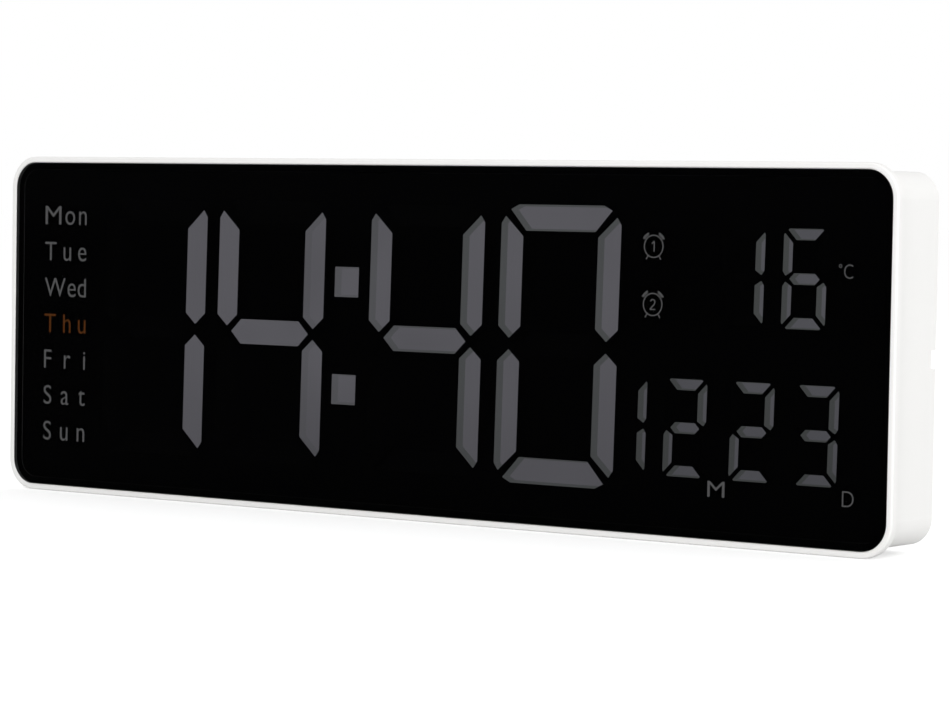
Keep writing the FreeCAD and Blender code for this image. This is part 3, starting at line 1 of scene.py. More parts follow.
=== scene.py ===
"""A wide day clock, dressed over its solid model.

The clock stands on a table with its black window towards -Y. Behind the window lie
seven-segment figures in flared cups, a column of weekday names, two alarm symbols
and three unit letters. Its rear has keys, keyholes, a folding leg and a battery door.
All lengths are metres.
"""
import logging
import math
from dataclasses import dataclass, field
from enum import Enum
from typing import Optional, Sequence

import bpy
from mathutils import Matrix, Vector


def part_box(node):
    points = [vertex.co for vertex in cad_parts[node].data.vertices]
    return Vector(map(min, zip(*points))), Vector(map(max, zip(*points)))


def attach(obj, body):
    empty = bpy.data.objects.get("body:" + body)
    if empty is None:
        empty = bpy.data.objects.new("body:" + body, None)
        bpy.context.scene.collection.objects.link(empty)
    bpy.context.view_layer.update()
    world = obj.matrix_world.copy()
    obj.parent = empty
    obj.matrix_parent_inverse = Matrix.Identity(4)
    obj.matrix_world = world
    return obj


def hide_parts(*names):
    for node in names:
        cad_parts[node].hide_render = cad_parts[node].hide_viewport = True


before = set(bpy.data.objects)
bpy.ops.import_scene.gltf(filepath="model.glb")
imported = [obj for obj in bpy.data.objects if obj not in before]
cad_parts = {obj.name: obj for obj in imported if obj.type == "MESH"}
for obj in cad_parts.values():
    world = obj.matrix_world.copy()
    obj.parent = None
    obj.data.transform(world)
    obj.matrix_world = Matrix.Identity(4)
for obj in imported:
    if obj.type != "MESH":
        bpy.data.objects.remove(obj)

log = logging.getLogger("day_clock")
Point = tuple[float, float, float]
Flat = tuple[float, float]
Face = tuple[int, ...]
Colour = tuple[float, float, float]
Material = bpy.types.Material
Socket = bpy.types.NodeSocket

# Angle above which an edge stays sharp, in radians

CREASE = 0.6


# Node trees

class NodeTree:
    """A node tree that is put together one node at a time."""

    def __init__(self, tree: bpy.types.NodeTree) -> None:
        """Empty the tree and hold it."""
        self.tree = tree
        self.tree.nodes.clear()

    def join(self, source: object, target: Socket) -> None:
        """Give a socket what it takes.

        Args:
            source: Another socket, which is linked to it, or a value.
            target: The socket.
        """
        if isinstance(source, Socket):
            self.tree.links.new(source, target)
        else:
            target.default_value = source

    def add(self, kind: str, settings: Optional[dict] = None, **inputs: object) -> bpy.types.Node:
        """Add a node.

        Args:
            kind: The node's type.
            settings: Properties of the node itself.
            inputs: A value or a socket for each input, with _ for each space in its name.

        Returns:
            The new node.
        """
        node = self.tree.nodes.new(kind)
        for key, setting in (settings or {}).items():
            setattr(node, key, setting)
        for key, source in inputs.items():
            self.join(source, node.inputs[key.replace("_", " ")])
        return node

    def calculate(self, operation: str, first: object, second: object) -> Socket:
        """Work out one number from two.

        Args:
            operation: What is done with them, such as MULTIPLY.
            first: A number or a socket.
            second: The other one.

        Returns:
            The result.
        """
        node = self.add("ShaderNodeMath", {"operation": operation})
        self.join(first, node.inputs[0])
        self.join(second, node.inputs[1])
        return node.outputs[0]


# Finishes, after the numbers of the sockets that a Mix node uses for colours

MIX_FACTOR, MIX_FIRST, MIX_SECOND, MIX_RESULT = 0, 6, 7, 2
BLACK = (0.002, 0.002, 0.002)
TOWARDS_VIEWER = (0.0, -1.0, 0.0)


def toned(colour: Colour, factor: float) -> Colour:
    """Make a colour paler or darker by a factor."""
    return tuple(min(1.0, part * factor) for part in colour)


class Recipe(NodeTree):
    """The node tree of one material while it is put together."""

    def __init__(self, name: str) -> None:
        """Start an empty material.

        Args:
            name: The material's name.
        """
        self.material = bpy.data.materials.new(name)
        self.material.use_nodes = True
        super().__init__(self.material.node_tree)
        self.output = self.add("ShaderNodeOutputMaterial")

    def speckle(self, scale: float, detail: float = 2.0, stretch: Point = (1.0, 1.0, 1.0)) -> Socket:
        """Make noise fixed to the piece.

        Args:
            scale: Spots per metre.
            detail: Octaves of the noise.
            stretch: Scale along each axis, such as for brushed marks.

        Returns:
            The noise as a socket from 0 to 1.
        """
        place = self.add("ShaderNodeTexCoord").outputs["Object"]
        mapping = self.add("ShaderNodeMapping", Vector=place, Scale=stretch)
        noise = self.add("ShaderNodeTexNoise", Vector=mapping.outputs["Vector"], Scale=scale, Detail=detail)
        return noise.outputs["Fac"]

    def spread(self, source: Socket, low: float, high: float, start: float = 0.3, end: float = 0.7) -> Socket:
        """Map a socket's range.

        Args:
            source: The socket to map.
            low: Result where the source is at start.
            high: Result where it is at end.
            start: Source value that gives low.
            end: Source value that gives high.

        Returns:
            The mapped socket.
        """
        return self.add("ShaderNodeMapRange", Value=source, From_Min=start, From_Max=end,
                        To_Min=low, To_Max=high).outputs["Result"]

    def blend(self, factor: Socket, first: Colour, second: Colour) -> Socket:
        """Blend two colours by a factor.

        Args:
            factor: 0 gives the first colour and 1 the second.
            first: One colour.
            second: The other colour.

        Returns:
            The blended colour.
        """
        node = self.add("ShaderNodeMix", {"data_type": "RGBA"})
        self.join((*first, 1.0), node.inputs[MIX_FIRST])
        self.join((*second, 1.0), node.inputs[MIX_SECOND])
        self.join(factor, node.inputs[MIX_FACTOR])
        return node.outputs[MIX_RESULT]

    def place(self, axis: str) -> Socket:
        """Read the object's own coordinate along an axis.

        Args:
            axis: X, Y or Z.

        Returns:
            The coordinate in metres.
        """
        place = self.add("ShaderNodeTexCoord").outputs["Object"]
        return self.add("ShaderNodeSeparateXYZ", Vector=place).outputs[axis]

    def relief(self, height: Socket, strength: float, depth: float) -> Socket:
        """Turn a height into a bumped normal.

        Args:
            height: The height from 0 to 1.
            strength: Share of the bump that is used.
            depth: Height of the bump.

        Returns:
            The bumped normal.
        """
        return self.add("ShaderNodeBump", Height=height, Strength=strength, Distance=depth).outputs["Normal"]

    def surface(self, **inputs: object) -> bpy.types.Node:
        """Add the surface shader and show it.

        Args:
            inputs: A value or a socket for each of its inputs.

        Returns:
            The shader node.
        """
        node = self.add("ShaderNodeBsdfPrincipled", **inputs)
        self.join(node.outputs["BSDF"], self.output.inputs["Surface"])
        return node


@dataclass(frozen=True)
class MouldedPlastic:
    """Plastic with a fine moulded grain and faint clouds in its colour."""

    name: str
    colour: Colour
    roughness: float = 0.4
    grain_per_metre: float = 3200.0
    grain_depth: float = 0.00002
    clouds: float = 0.015
    gloss: float = 0.45
    clouds_per_metre: float = 14.0
    smoothest: float = 0.05
    roughest: float = 0.06

    def material(self) -> Material:
        """Make the material.

        Returns:
            The material.
        """
        recipe = Recipe(self.name)
        cloud = recipe.speckle(self.clouds_per_metre, detail=4.0)
        grain = recipe.speckle(self.grain_per_metre, detail=3.0)
        recipe.surface(
            Base_Color=recipe.blend(cloud, toned(self.colour, 1.0 - self.clouds), self.colour),
            Roughness=recipe.spread(grain, self.roughness - self.smoothest, self.roughness + self.roughest),
            Specular_IOR_Level=self.gloss,
            Normal=recipe.relief(grain, 0.35, self.grain_depth))
        return recipe.material


@dataclass(frozen=True)
class SmokedAcrylic:
    """Polished black acrylic that lets two fifths of the light through."""

    name: str = "smoked_acrylic"
    colour: Colour = (0.0006, 0.0006, 0.0007)
    alpha: float = 0.6
    gloss: float = 0.008
    smoothest: float = 0.03
    roughest: float = 0.07
    haze_per_metre: float = 60.0

    def material(self) -> Material:
        """Make the material.

        Returns:
            The material.
        """
        recipe = Recipe(self.name)
        haze = recipe.speckle(self.haze_per_metre, detail=3.0)
        recipe.surface(Base_Color=(*self.colour, 1.0), Alpha=self.alpha, Specular_IOR_Level=self.gloss,
                       Roughness=recipe.spread(haze, self.smoothest, self.roughest))
        return recipe.material


@dataclass(frozen=True)
class CupPlastic:
    """The inside of a segment cup, whose glow is painted light that stands for the lamp behind it: its floor
    is painted paler than the walls that slope down to it, as painted shade.

    The painted shade on the walls deepens towards the right of the clock, and on the floors towards its
    bottom.
    """

    name: str
    floor: Colour
    wall: Colour
    strength: float
    body: Colour = (0.02, 0.02, 0.02)
    wall_facing: float = 0.35
    floor_facing: float = 0.85
    walls_pale_until: float = -0.075
    walls_dark_from: float = 0.015
    low_level: float = 0.014
    full_level: float = 0.062
    low_shade: float = 0.8
    spots_per_metre: float = 24.0
    spot_shade: float = 0.88
    grain_per_metre: float = 900.0
    grain_depth: float = 0.00003

    def material(self) -> Material:
        """Make the material.

        Returns:
            The material.
        """
        recipe = Recipe(self.name)
        # Painted shade: faces that turn away from the viewer, the sloping walls, take the darker wall colour.
        normal = recipe.add("ShaderNodeNewGeometry").outputs["True Normal"]
        towards = recipe.add("ShaderNodeVectorMath", {"operation": "DOT_PRODUCT"}, Vector=normal)
        towards.inputs[1].default_value = TOWARDS_VIEWER
        facing = recipe.spread(towards.outputs["Value"], 0.0, 1.0, self.wall_facing, self.floor_facing)
        # Painted shade: the walls are as pale as the floors at the left of the clock and darken towards its
        # right.
        paler = recipe.spread(recipe.place("X"), 1.0, 0.0, self.walls_pale_until, self.walls_dark_from)
        tone = recipe.blend(recipe.calculate("MAXIMUM", facing, paler), self.wall, self.floor)
        spots = recipe.spread(recipe.speckle(self.spots_per_metre, detail=1.0), self.spot_shade, 1.0)
        # Painted shade: the glow is darker towards the bottom of the clock.
        level = recipe.spread(recipe.place("Z"), self.low_shade, 1.0, self.low_level, self.full_level)
        for shade in (spots, level):
            shaded = recipe.add("ShaderNodeVectorMath", {"operation": "SCALE"}, Vector=tone, Scale=shade)
            tone = shaded.outputs[0]
        grain = recipe.speckle(self.grain_per_metre, detail=3.0)
        # The emission is a painted glow that stands for the lamp behind the cup.
        recipe.surface(Base_Color=(*self.body, 1.0), Roughness=0.6, Specular_IOR_Level=0.02,
                       Emission_Color=tone, Emission_Strength=self.strength,
                       Normal=recipe.relief(grain, 0.2, self.grain_depth))
        return recipe.material


@dataclass(frozen=True)
class Ink:
    """Printed ink on a legend plate, lit from behind, where its glow is painted light that stands for the
    lamps behind it.
    """

    name: str
    colour: Colour
    glow: float
    mottle: float = 1.12
    spots_per_metre: float = 2600.0

    def material(self) -> Material:
        """Make the material.

        Returns:
            The material.
        """
        recipe = Recipe(self.name)
        paler = toned(self.colour, self.mottle)
        tone = recipe.blend(recipe.speckle(self.spots_per_metre), self.colour, paler)
        recipe.surface(Base_Color=tone, Roughness=0.6, Specular_IOR_Level=0.05, Emission_Color=tone,
                       Emission_Strength=self.glow)
        return recipe.material


@dataclass(frozen=True)
class Laminate:
    """Green circuit board with tracks under its solder mask."""

    name: str = "board_laminate"
    mask: Colour = (0.012, 0.12, 0.045)
    track: Colour = (0.02, 0.20, 0.08)
    track_relief: float = 0.00004

    def material(self) -> Material:
        """Make the material.

        Returns:
            The material.
        """
        recipe = Recipe(self.name)
        place = recipe.add("ShaderNodeTexCoord").outputs["Object"]
        upright = recipe.add("ShaderNodeMapping", Vector=place, Rotation=(math.pi / 2, 0.0, 0.0))
        tracks = recipe.add("ShaderNodeTexBrick", {"offset": 0.37, "squash": 0.6, "squash_frequency": 3},
                            Vector=upright.outputs["Vector"], Scale=90.0, Mortar_Size=0.035, Brick_Width=1.7,
                            Row_Height=0.22).outputs["Fac"]
        recipe.surface(Base_Color=recipe.blend(tracks, self.mask, self.track), Roughness=0.3,
                       Specular_IOR_Level=0.5, Normal=recipe.relief(tracks, 0.5, self.track_relief))
        return recipe.material


@dataclass(frozen=True)
class PlatedMetal:
    """Zinc-plated or drawn metal with fine brushed marks."""

    name: str
    colour: Colour
    roughness: float = 0.32
    brushing: Point = (1.0, 1.0, 12.0)
    marks_per_metre: float = 700.0
    mark_shade: float = 0.86
    mark_depth: float = 0.000012
    smoothest: float = 0.08
    roughest: float = 0.12

    def material(self) -> Material:
        """Make the material.

        Returns:
            The material.
        """
        recipe = Recipe(self.name)
        marks = recipe.speckle(self.marks_per_metre, detail=4.0, stretch=self.brushing)
        recipe.surface(
            Base_Color=recipe.blend(marks, toned(self.colour, self.mark_shade), self.colour),
            Metallic=1.0,
            Roughness=recipe.spread(marks, self.roughness - self.smoothest, self.roughness + self.roughest),
            Normal=recipe.relief(marks, 0.25, self.mark_depth))
        return recipe.material


@dataclass(frozen=True)
class Rubber:
    """Soft black rubber with a dusty bloom."""

    name: str = "foot_rubber"
    colour: Colour = (0.035, 0.035, 0.036)
    bloom: float = 1.7
    bloom_per_metre: float = 220.0
    grain_per_metre: float = 3600.0
    grain_depth: float = 0.00004

    def material(self) -> Material:
        """Make the material.

        Returns:
            The material.
        """
        recipe = Recipe(self.name)
        dust = recipe.spread(recipe.speckle(self.bloom_per_metre, detail=5.0), 0.0, 1.0)
        recipe.surface(Base_Color=recipe.blend(dust, self.colour, toned(self.colour, self.bloom)),
                       Roughness=0.8, Specular_IOR_Level=0.3, Sheen_Weight=0.15,
                       Normal=recipe.relief(recipe.speckle(self.grain_per_metre), 0.5, self.grain_depth))
        return recipe.material


class Finishes:
    """Every finish on the clock, made once and found by its name."""

    def __init__(self) -> None:
        """Make the materials."""
        finishes = (
            MouldedPlastic("case_white", (0.88, 0.875, 0.862), 0.42, gloss=0.3),
            MouldedPlastic("cover_white", (0.80, 0.80, 0.79), 0.55, 1500.0, 0.00006, 0.03),
            MouldedPlastic("key_grey", (0.42, 0.42, 0.43), 0.5, 2200.0, 0.00004, 0.04),
            SmokedAcrylic(),
            MouldedPlastic("tape_black", BLACK, 0.85, 1800.0, 0.00005, 0.3, 0.02),
            MouldedPlastic("frame_black", BLACK, 0.9, 1800.0, 0.00003, 0.3, 0.02),
            # The lit cups glow with painted light and carry painted shade on their walls.
            CupPlastic("cup_lit", (0.60, 0.59, 0.66), (0.39, 0.41, 0.42), 1.0),
            CupPlastic("cup_small", (0.49, 0.49, 0.55), (0.32, 0.34, 0.34), 1.0),
            # The unlit cups are painted black as shade, a shaded copy of the lit cup.
            CupPlastic("cup_unlit_painted_shade", BLACK, (0.001, 0.001, 0.001), 0.5, BLACK),
            # The glowing inks carry painted light that stands for the lamps behind the legends.
            Ink("ink_grey_glow", (0.44, 0.44, 0.45), 0.84),
            Ink("ink_faint_glow", (0.42, 0.42, 0.43), 0.8),
            Ink("ink_amber_glow", (0.34, 0.115, 0.03), 0.95),
            MouldedPlastic("film_black", BLACK, 0.8, 1500.0, 0.00002, 0.3, 0.02),
            Laminate(),
            MouldedPlastic("chip_black", (0.02, 0.02, 0.021), 0.6, 2600.0, 0.00003, 0.3),
            MouldedPlastic("lamp_resin", (0.82, 0.76, 0.42), 0.25, 900.0, 0.00001, 0.1),
            PlatedMetal("zinc_steel", (0.60, 0.60, 0.61)),
            PlatedMetal("drawn_can", (0.70, 0.70, 0.71), 0.25, (1.0, 6.0, 1.0)),
            PlatedMetal("solder", (0.66, 0.67, 0.68), 0.22, (1.0, 1.0, 1.0)),
            Rubber(),
            Ink("mark_grey", (0.10, 0.10, 0.105), 0.0),
        )
        self.materials = {finish.name: finish.material() for finish in finishes}

    def __getitem__(self, name: str) -> Material:
        """Find a finish by its name."""
        return self.materials[name]

    def dress(self, finish: str, *nodes: str) -> None:
        """Give solid nodes a finish.

        Args:
            finish: The finish's name.
            nodes: Names of the nodes.
        """
        for name in nodes:
            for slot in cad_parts[name].material_slots:
                slot.material = self[finish]
            log.info("dressed %s in %s", name, finish)


# Shapes

@dataclass
class Shape:
    """Points and faces gathered for one piece."""

    points: list[Point] = field(default_factory=list)
    faces: list[Face] = field(default_factory=list)

    def add(self, points: Sequence[Point], faces: Sequence[Sequence[int]]) -> None:
        """Add points and faces.

        Args:
            points: The points.
            faces: The faces, which count from the first of these points.
        """
        start = len(self.points)
        self.points.extend(points)
        self.faces.extend(tuple(start + index for index in face) for face in faces)

    def loft(self, rings: Sequence[Sequence[Point]]) -> None:
        """Skin rings that run anticlockwise seen from the last ring's side, and close both ends.

        Args:
            rings: Rings with as many points each, in order.
        """
        count = len(rings[0])
        faces: list[Face] = []
        for row in range(len(rings) - 1):
            for index in range(count):
                following = (index + 1) % count
                low, high = row * count, (row + 1) * count
                faces.append((low + index, low + following, high + following, high + index))
        faces.append(tuple(range(count - 1, -1, -1)))
        faces.append(tuple((len(rings) - 1) * count + index for index in range(count)))
        self.add([point for ring in rings for point in ring], faces)

    def plate(self, outline: Sequence[Flat], front: float, rear: float) -> None:
        """Add a flat plate between two depths.

        Args:
            outline: Its X and Z, anticlockwise seen from the front.
            front: Depth of its front.
            rear: Depth of its rear.
        """
        back = [(x, rear, z) for x, z in outline]
        near = [(x, front, z) for x, z in outline]
        self.loft([back, near])

    def piece(self, name: str, material: Material, crease: float = CREASE) -> bpy.types.Object:
        """Make the piece.

        Args:
            name: Its name.
            material: Its finish.
            crease: Angle above which an edge stays sharp, in radians.

        Returns:
            The new object, at the origin.
        """
        mesh = bpy.data.meshes.new(name)
        mesh.from_pydata(self.points, [], self.faces)
        mesh.validate()
        return placed(name, mesh, material, crease)


def placed(name: str, mesh: bpy.types.Mesh, material: Material, crease: float = CREASE) -> bpy.types.Object:
    """Show a mesh as a piece at the origin.

    Args:
        name: The piece's name.
        mesh: Its mesh, already in place.
        material: Its finish.
        crease: Angle above which an edge stays sharp, in radians.

    Returns:
        The new object.
    """
    mesh.materials.clear()
    mesh.materials.append(material)
    mesh.shade_smooth()
    mesh.set_sharp_from_angle(angle=crease)
    piece = bpy.data.objects.new(name, mesh)
    bpy.context.scene.collection.objects.link(piece)
    return piece


def rounded(width: float, height: float, radius: float, steps: int = 6) -> list[Flat]:
    """Outline a rectangle with round corners about the origin, anticlockwise.

    Args:
        width: Its width.
        height: Its height.
        radius: Its corners.
        steps: Sides of each corner.

    Returns:
        The outline.
    """
    outline = []
    for turn in range(4):
        cx = (width / 2 - radius) * (1 if turn in (0, 3) else -1)
        cy = (height / 2 - radius) * (1 if turn in (0, 1) else -1)
        for step in range(steps + 1):
            angle = math.pi / 2 * (turn + step / steps)
            outline.append((cx + radius * math.cos(angle), cy + radius * math.sin(angle)))
    return outline


def stroke(points: Sequence[Flat], width: float) -> list[Flat]:
    """Outline a path of an even width.

    Args:
        points: The middle of the path.
        width: Its width.

    Returns:
        The outline, anticlockwise.
    """
    sides: list[list[Flat]] = [[], []]
    for index, (x, y) in enumerate(points):
        before = points[max(index - 1, 0)]
        after = points[min(index + 1, len(points) - 1)]
        du, dv = after[0] - before[0], after[1] - before[1]
        length = math.hypot(du, dv)
        shift = (-dv / length * width / 2, du / length * width / 2)
        sides[0].append((x - shift[0], y - shift[1]))
        sides[1].append((x + shift[0], y + shift[1]))
    return sides[0] + sides[1][::-1]


def arc(centre: Flat, radius: float, start: float, end: float, steps: int) -> list[Flat]:
    """Points on an arc.

    Args:
        centre: Its centre.
        radius: Its radius.
        start: First angle in degrees.
        end: Last angle in degrees.
        steps: Sides of the arc.

    Returns:
        The points.
    """
    angles = [math.radians(start + (end - start) * step / steps) for step in range(steps + 1)]
    return [(centre[0] + radius * math.cos(a), centre[1] + radius * math.sin(a)) for a in angles]


# Repeated small pieces

class Repeater(NodeTree):
    """A geometry node tree for small pieces that repeat, with named inputs for their sizes."""

    def __init__(self, name: str, sizes: dict[str, float]) -> None:
        """Start the tree.

        Args:
            name: The tree's name.
            sizes: Its named inputs and their values.
        """
        super().__init__(bpy.data.node_groups.new(name, "GeometryNodeTree"))
        face = self.tree.interface
        face.new_socket("Places", in_out="INPUT", socket_type="NodeSocketGeometry")
        self.sockets = {}
        for key, number in sizes.items():
            socket = face.new_socket(key, in_out="INPUT", socket_type="NodeSocketFloat")
            socket.default_value = number
            self.sockets[key] = socket.identifier
        self.finish = face.new_socket("Finish", in_out="INPUT", socket_type="NodeSocketMaterial").identifier
        face.new_socket("Pieces", in_out="OUTPUT", socket_type="NodeSocketGeometry")
        self.sizes = sizes
        self.given = self.add("NodeGroupInput")

    def size(self, name: str) -> Socket:
        """The socket that gives one of the tree's sizes."""
        return self.given.outputs[name]

    def times(self, source: Socket, factor: float) -> Socket:
        """Scale a number by a factor."""
        return self.calculate("MULTIPLY", source, factor)

    def vector(self, *parts: object) -> Socket:
        """Put three numbers or sockets together as a vector."""
        return self.add("ShaderNodeCombineXYZ", **dict(zip("XYZ", parts))).outputs[0]

    def raised(self, shape: Socket, level: Socket) -> Socket:
        """Move a shape along its own Z."""
        shift = self.vector(0.0, 0.0, level)
        return self.add("GeometryNodeTransform", Geometry=shape, Translation=shift).outputs[0]

    def repeated(self, shape: Socket, turn: Socket) -> None:
        """End the tree: set the shape on each place, make it real and dress it.

        Args:
            shape: The shape to repeat.
            turn: Its rotation on each place.
        """
        copies = self.add("GeometryNodeInstanceOnPoints", Points=self.given.outputs["Places"], Instance=shape,
                          Rotation=turn)
        real = self.add("GeometryNodeRealizeInstances", Geometry=copies.outputs[0])
        dressed = self.add("GeometryNodeSetMaterial", Geometry=real.outputs[0],
                           Material=self.given.outputs["Finish"])
        self.add("NodeGroupOutput", Pieces=dressed.outputs[0])

    def piece(self, name: str, places: Sequence[Point], material: Material,
              **sizes: float) -> bpy.types.Object:
        """Run the tree and keep its result as a plain mesh.

        Args:
            name: The piece's name.
            places: Where the copies stand.
            material: Their finish.
            sizes: Values of the named inputs that differ, with _ for each space.

        Returns:
            The new object.
        """
        seeds = bpy.data.meshes.new(name + "_places")
        seeds.from_pydata([tuple(place) for place in places], [], [])
        holder = bpy.data.objects.new(name + "_places", seeds)
        bpy.context.scene.collection.objects.link(holder)
        modifier = holder.modifiers.new("repeat", "NODES")
        modifier.node_group = self.tree
        chosen = dict(self.sizes)
        chosen.update({key.replace("_", " "): number for key, number in sizes.items()})
        for key, number in chosen.items():
            modifier[self.sockets[key]] = number
        modifier[self.finish] = material
        graph = bpy.context.evaluated_depsgraph_get()
        mesh = bpy.data.meshes.new_from_object(holder.evaluated_get(graph))
        bpy.data.objects.remove(holder)
        mesh.name = name
        return placed(name, mesh, material)


class Facing(Enum):
    """Which way a screw's head looks, as a turn about X."""

    REAR = -math.pi / 2
    FRONT = math.pi / 2


@dataclass
class Screws:
    """Pan-head screws with a cross recess, which stand for the plain ones of the solid model.

    The rim, the dome and the recess are shares of the head's radius or height, and the
    shank's middle is a share of its length.
    """

    finishes: Finishes
    sides: int = 32
    head_radius: float = 0.0026
    head_height: float = 0.0012
    shank_radius: float = 0.0013
    length: float = 0.008
    small_head_radius: float = 0.002
    small_shank_radius: float = 0.001
    small_length: float = 0.006
    door_head_height: float = 0.0009
    rim_height: float = 0.5
    dome_height: float = 0.55
    dome_bottom: float = 0.995
    dome_top: float = 0.68
    shank_middle: float = -0.49
    recess_length: float = 1.15
    recess_width: float = 0.24
    recess_depth: float = 1.1

    def tree(self) -> Repeater:
        """Build the tree for one screw on each place.

        Returns:
            The tree.
        """
        screw = Repeater("pan_screws", {
            "Head Radius": self.head_radius, "Head Height": self.head_height,
            "Shank Radius": self.shank_radius, "Length": self.length, "Turn": 0.0})
        radius, height, length = (screw.size(name) for name in ("Head Radius", "Head Height", "Length"))
        rim = screw.add("GeometryNodeMeshCylinder", Vertices=self.sides, Radius=radius,
                        Depth=screw.times(height, self.rim_height))
        dome = screw.add("GeometryNodeMeshCone", Vertices=self.sides,
                         Radius_Bottom=screw.times(radius, self.dome_bottom),
                         Radius_Top=screw.times(radius, self.dome_top),
                         Depth=screw.times(height, self.dome_height))
        shank = screw.add("GeometryNodeMeshCylinder", Vertices=self.sides, Radius=screw.size("Shank Radius"),
                          Depth=length)
        levels = (screw.times(height, self.rim_height / 2), screw.times(height, 1 - self.dome_height),
                  screw.times(length, self.shank_middle))
        whole = screw.add("GeometryNodeMeshBoolean", {"operation": "UNION", "solver": "EXACT"})
        for part, level in zip((rim, dome, shank), levels):
            screw.join(screw.raised(part.outputs["Mesh"], level), whole.inputs["Mesh 2"])
        crossed = screw.add("GeometryNodeMeshBoolean", {"operation": "DIFFERENCE", "solver": "EXACT"},
                            Mesh_1=whole.outputs["Mesh"])
        long_side = screw.times(radius, self.recess_length)
        short_side = screw.times(radius, self.recess_width)
        deep = screw.times(height, self.recess_depth)
        for width, depth in ((long_side, short_side), (short_side, long_side)):
            arm = screw.add("GeometryNodeMeshCube", Size=screw.vector(width, depth, deep))
            screw.join(screw.raised(arm.outputs["Mesh"], height), crossed.inputs["Mesh 2"])
        screw.repeated(crossed.outputs["Mesh"], screw.vector(screw.size("Turn"), 0.0, 0.0))
        return screw

    def build(self) -> None:
        """Make every set of screws and put it in the place of its node."""
        tree = self.tree()
        small = {"Head_Radius": self.small_head_radius, "Shank_Radius": self.small_shank_radius,
                 "Length": self.small_length}
        sets = [
            ("cover_screws", "case", Facing.REAR, self.head_height, {}),
            ("board_screws", "case", Facing.REAR, self.head_height, small),
            ("control_screws", "case", Facing.FRONT, self.head_height, small),
            ("battery_door_screw", "battery_lid", Facing.REAR, self.door_head_height, small),
        ]
        for node, body, facing, height, sizes in sets:
            places = screw_seats(node, facing, height)
            piece = tree.piece(node + "_detailed", places, self.finishes["zinc_steel"], Turn=facing.value,
                               Head_Height=height, **sizes)
            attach(piece, body)
            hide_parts(node)
            log.info("made %s: %d screws", piece.name, len(places))


# How far from its first point the rest of a plain screw can be, across its axis

SCREW_REACH = 0.006


def screw_seats(node: str, facing: Facing, head_height: float) -> list[Point]:
    """Find where the heads of a node's plain screws sit.

    Args:
        node: The node with the plain screws.
        facing: Which way their heads look.
        head_height: Height of a head.

    Returns:
        One point for each screw, at the middle of its seat.
    """
    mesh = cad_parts[node].data
    low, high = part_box(node)
    seat = high[1] - head_height if facing is Facing.REAR else low[1] + head_height
    groups: list[list[Vector]] = []
    for vertex in mesh.vertices:
        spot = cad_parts[node].matrix_world @ vertex.co
        near = [group for group in groups
                if math.hypot(group[0].x - spot.x, group[0].z - spot.z) < SCREW_REACH]
        if near:
            near[0].append(spot)
        else:
            groups.append([spot])
    seats = []
    for group in groups:
        xs, zs = [p.x for p in group], [p.z for p in group]
        seats.append(((min(xs) + max(xs)) / 2, seat, (min(zs) + max(zs)) / 2))
    return seats


# Window and display

def thicken(shape: Shape, flat: Sequence[Flat], faces: Sequence[Face], front: float, depth: float) -> None:
    """Add flat faces as a closed plate.

    Args:
        shape: The shape that takes the plate.
        flat: X and Z of the points.
        faces: Faces that run anticlockwise seen from the front.
        front: Depth of the plate's front.
        depth: Its thickness.
    """
    count = len(flat)
    points = [(x, front, z) for x, z in flat] + [(x, front + depth, z) for x, z in flat]
    edges = dict.fromkeys((start, face[(index + 1) % len(face)])
                          for face in faces for index, start in enumerate(face))
    solid = [tuple(face) for face in faces]
    solid += [tuple(count + index for index in reversed(face)) for face in faces]
    solid += [(end, start, start + count, end + count) for start, end in edges if (end, start) not in edges]
    shape.add(points, solid)


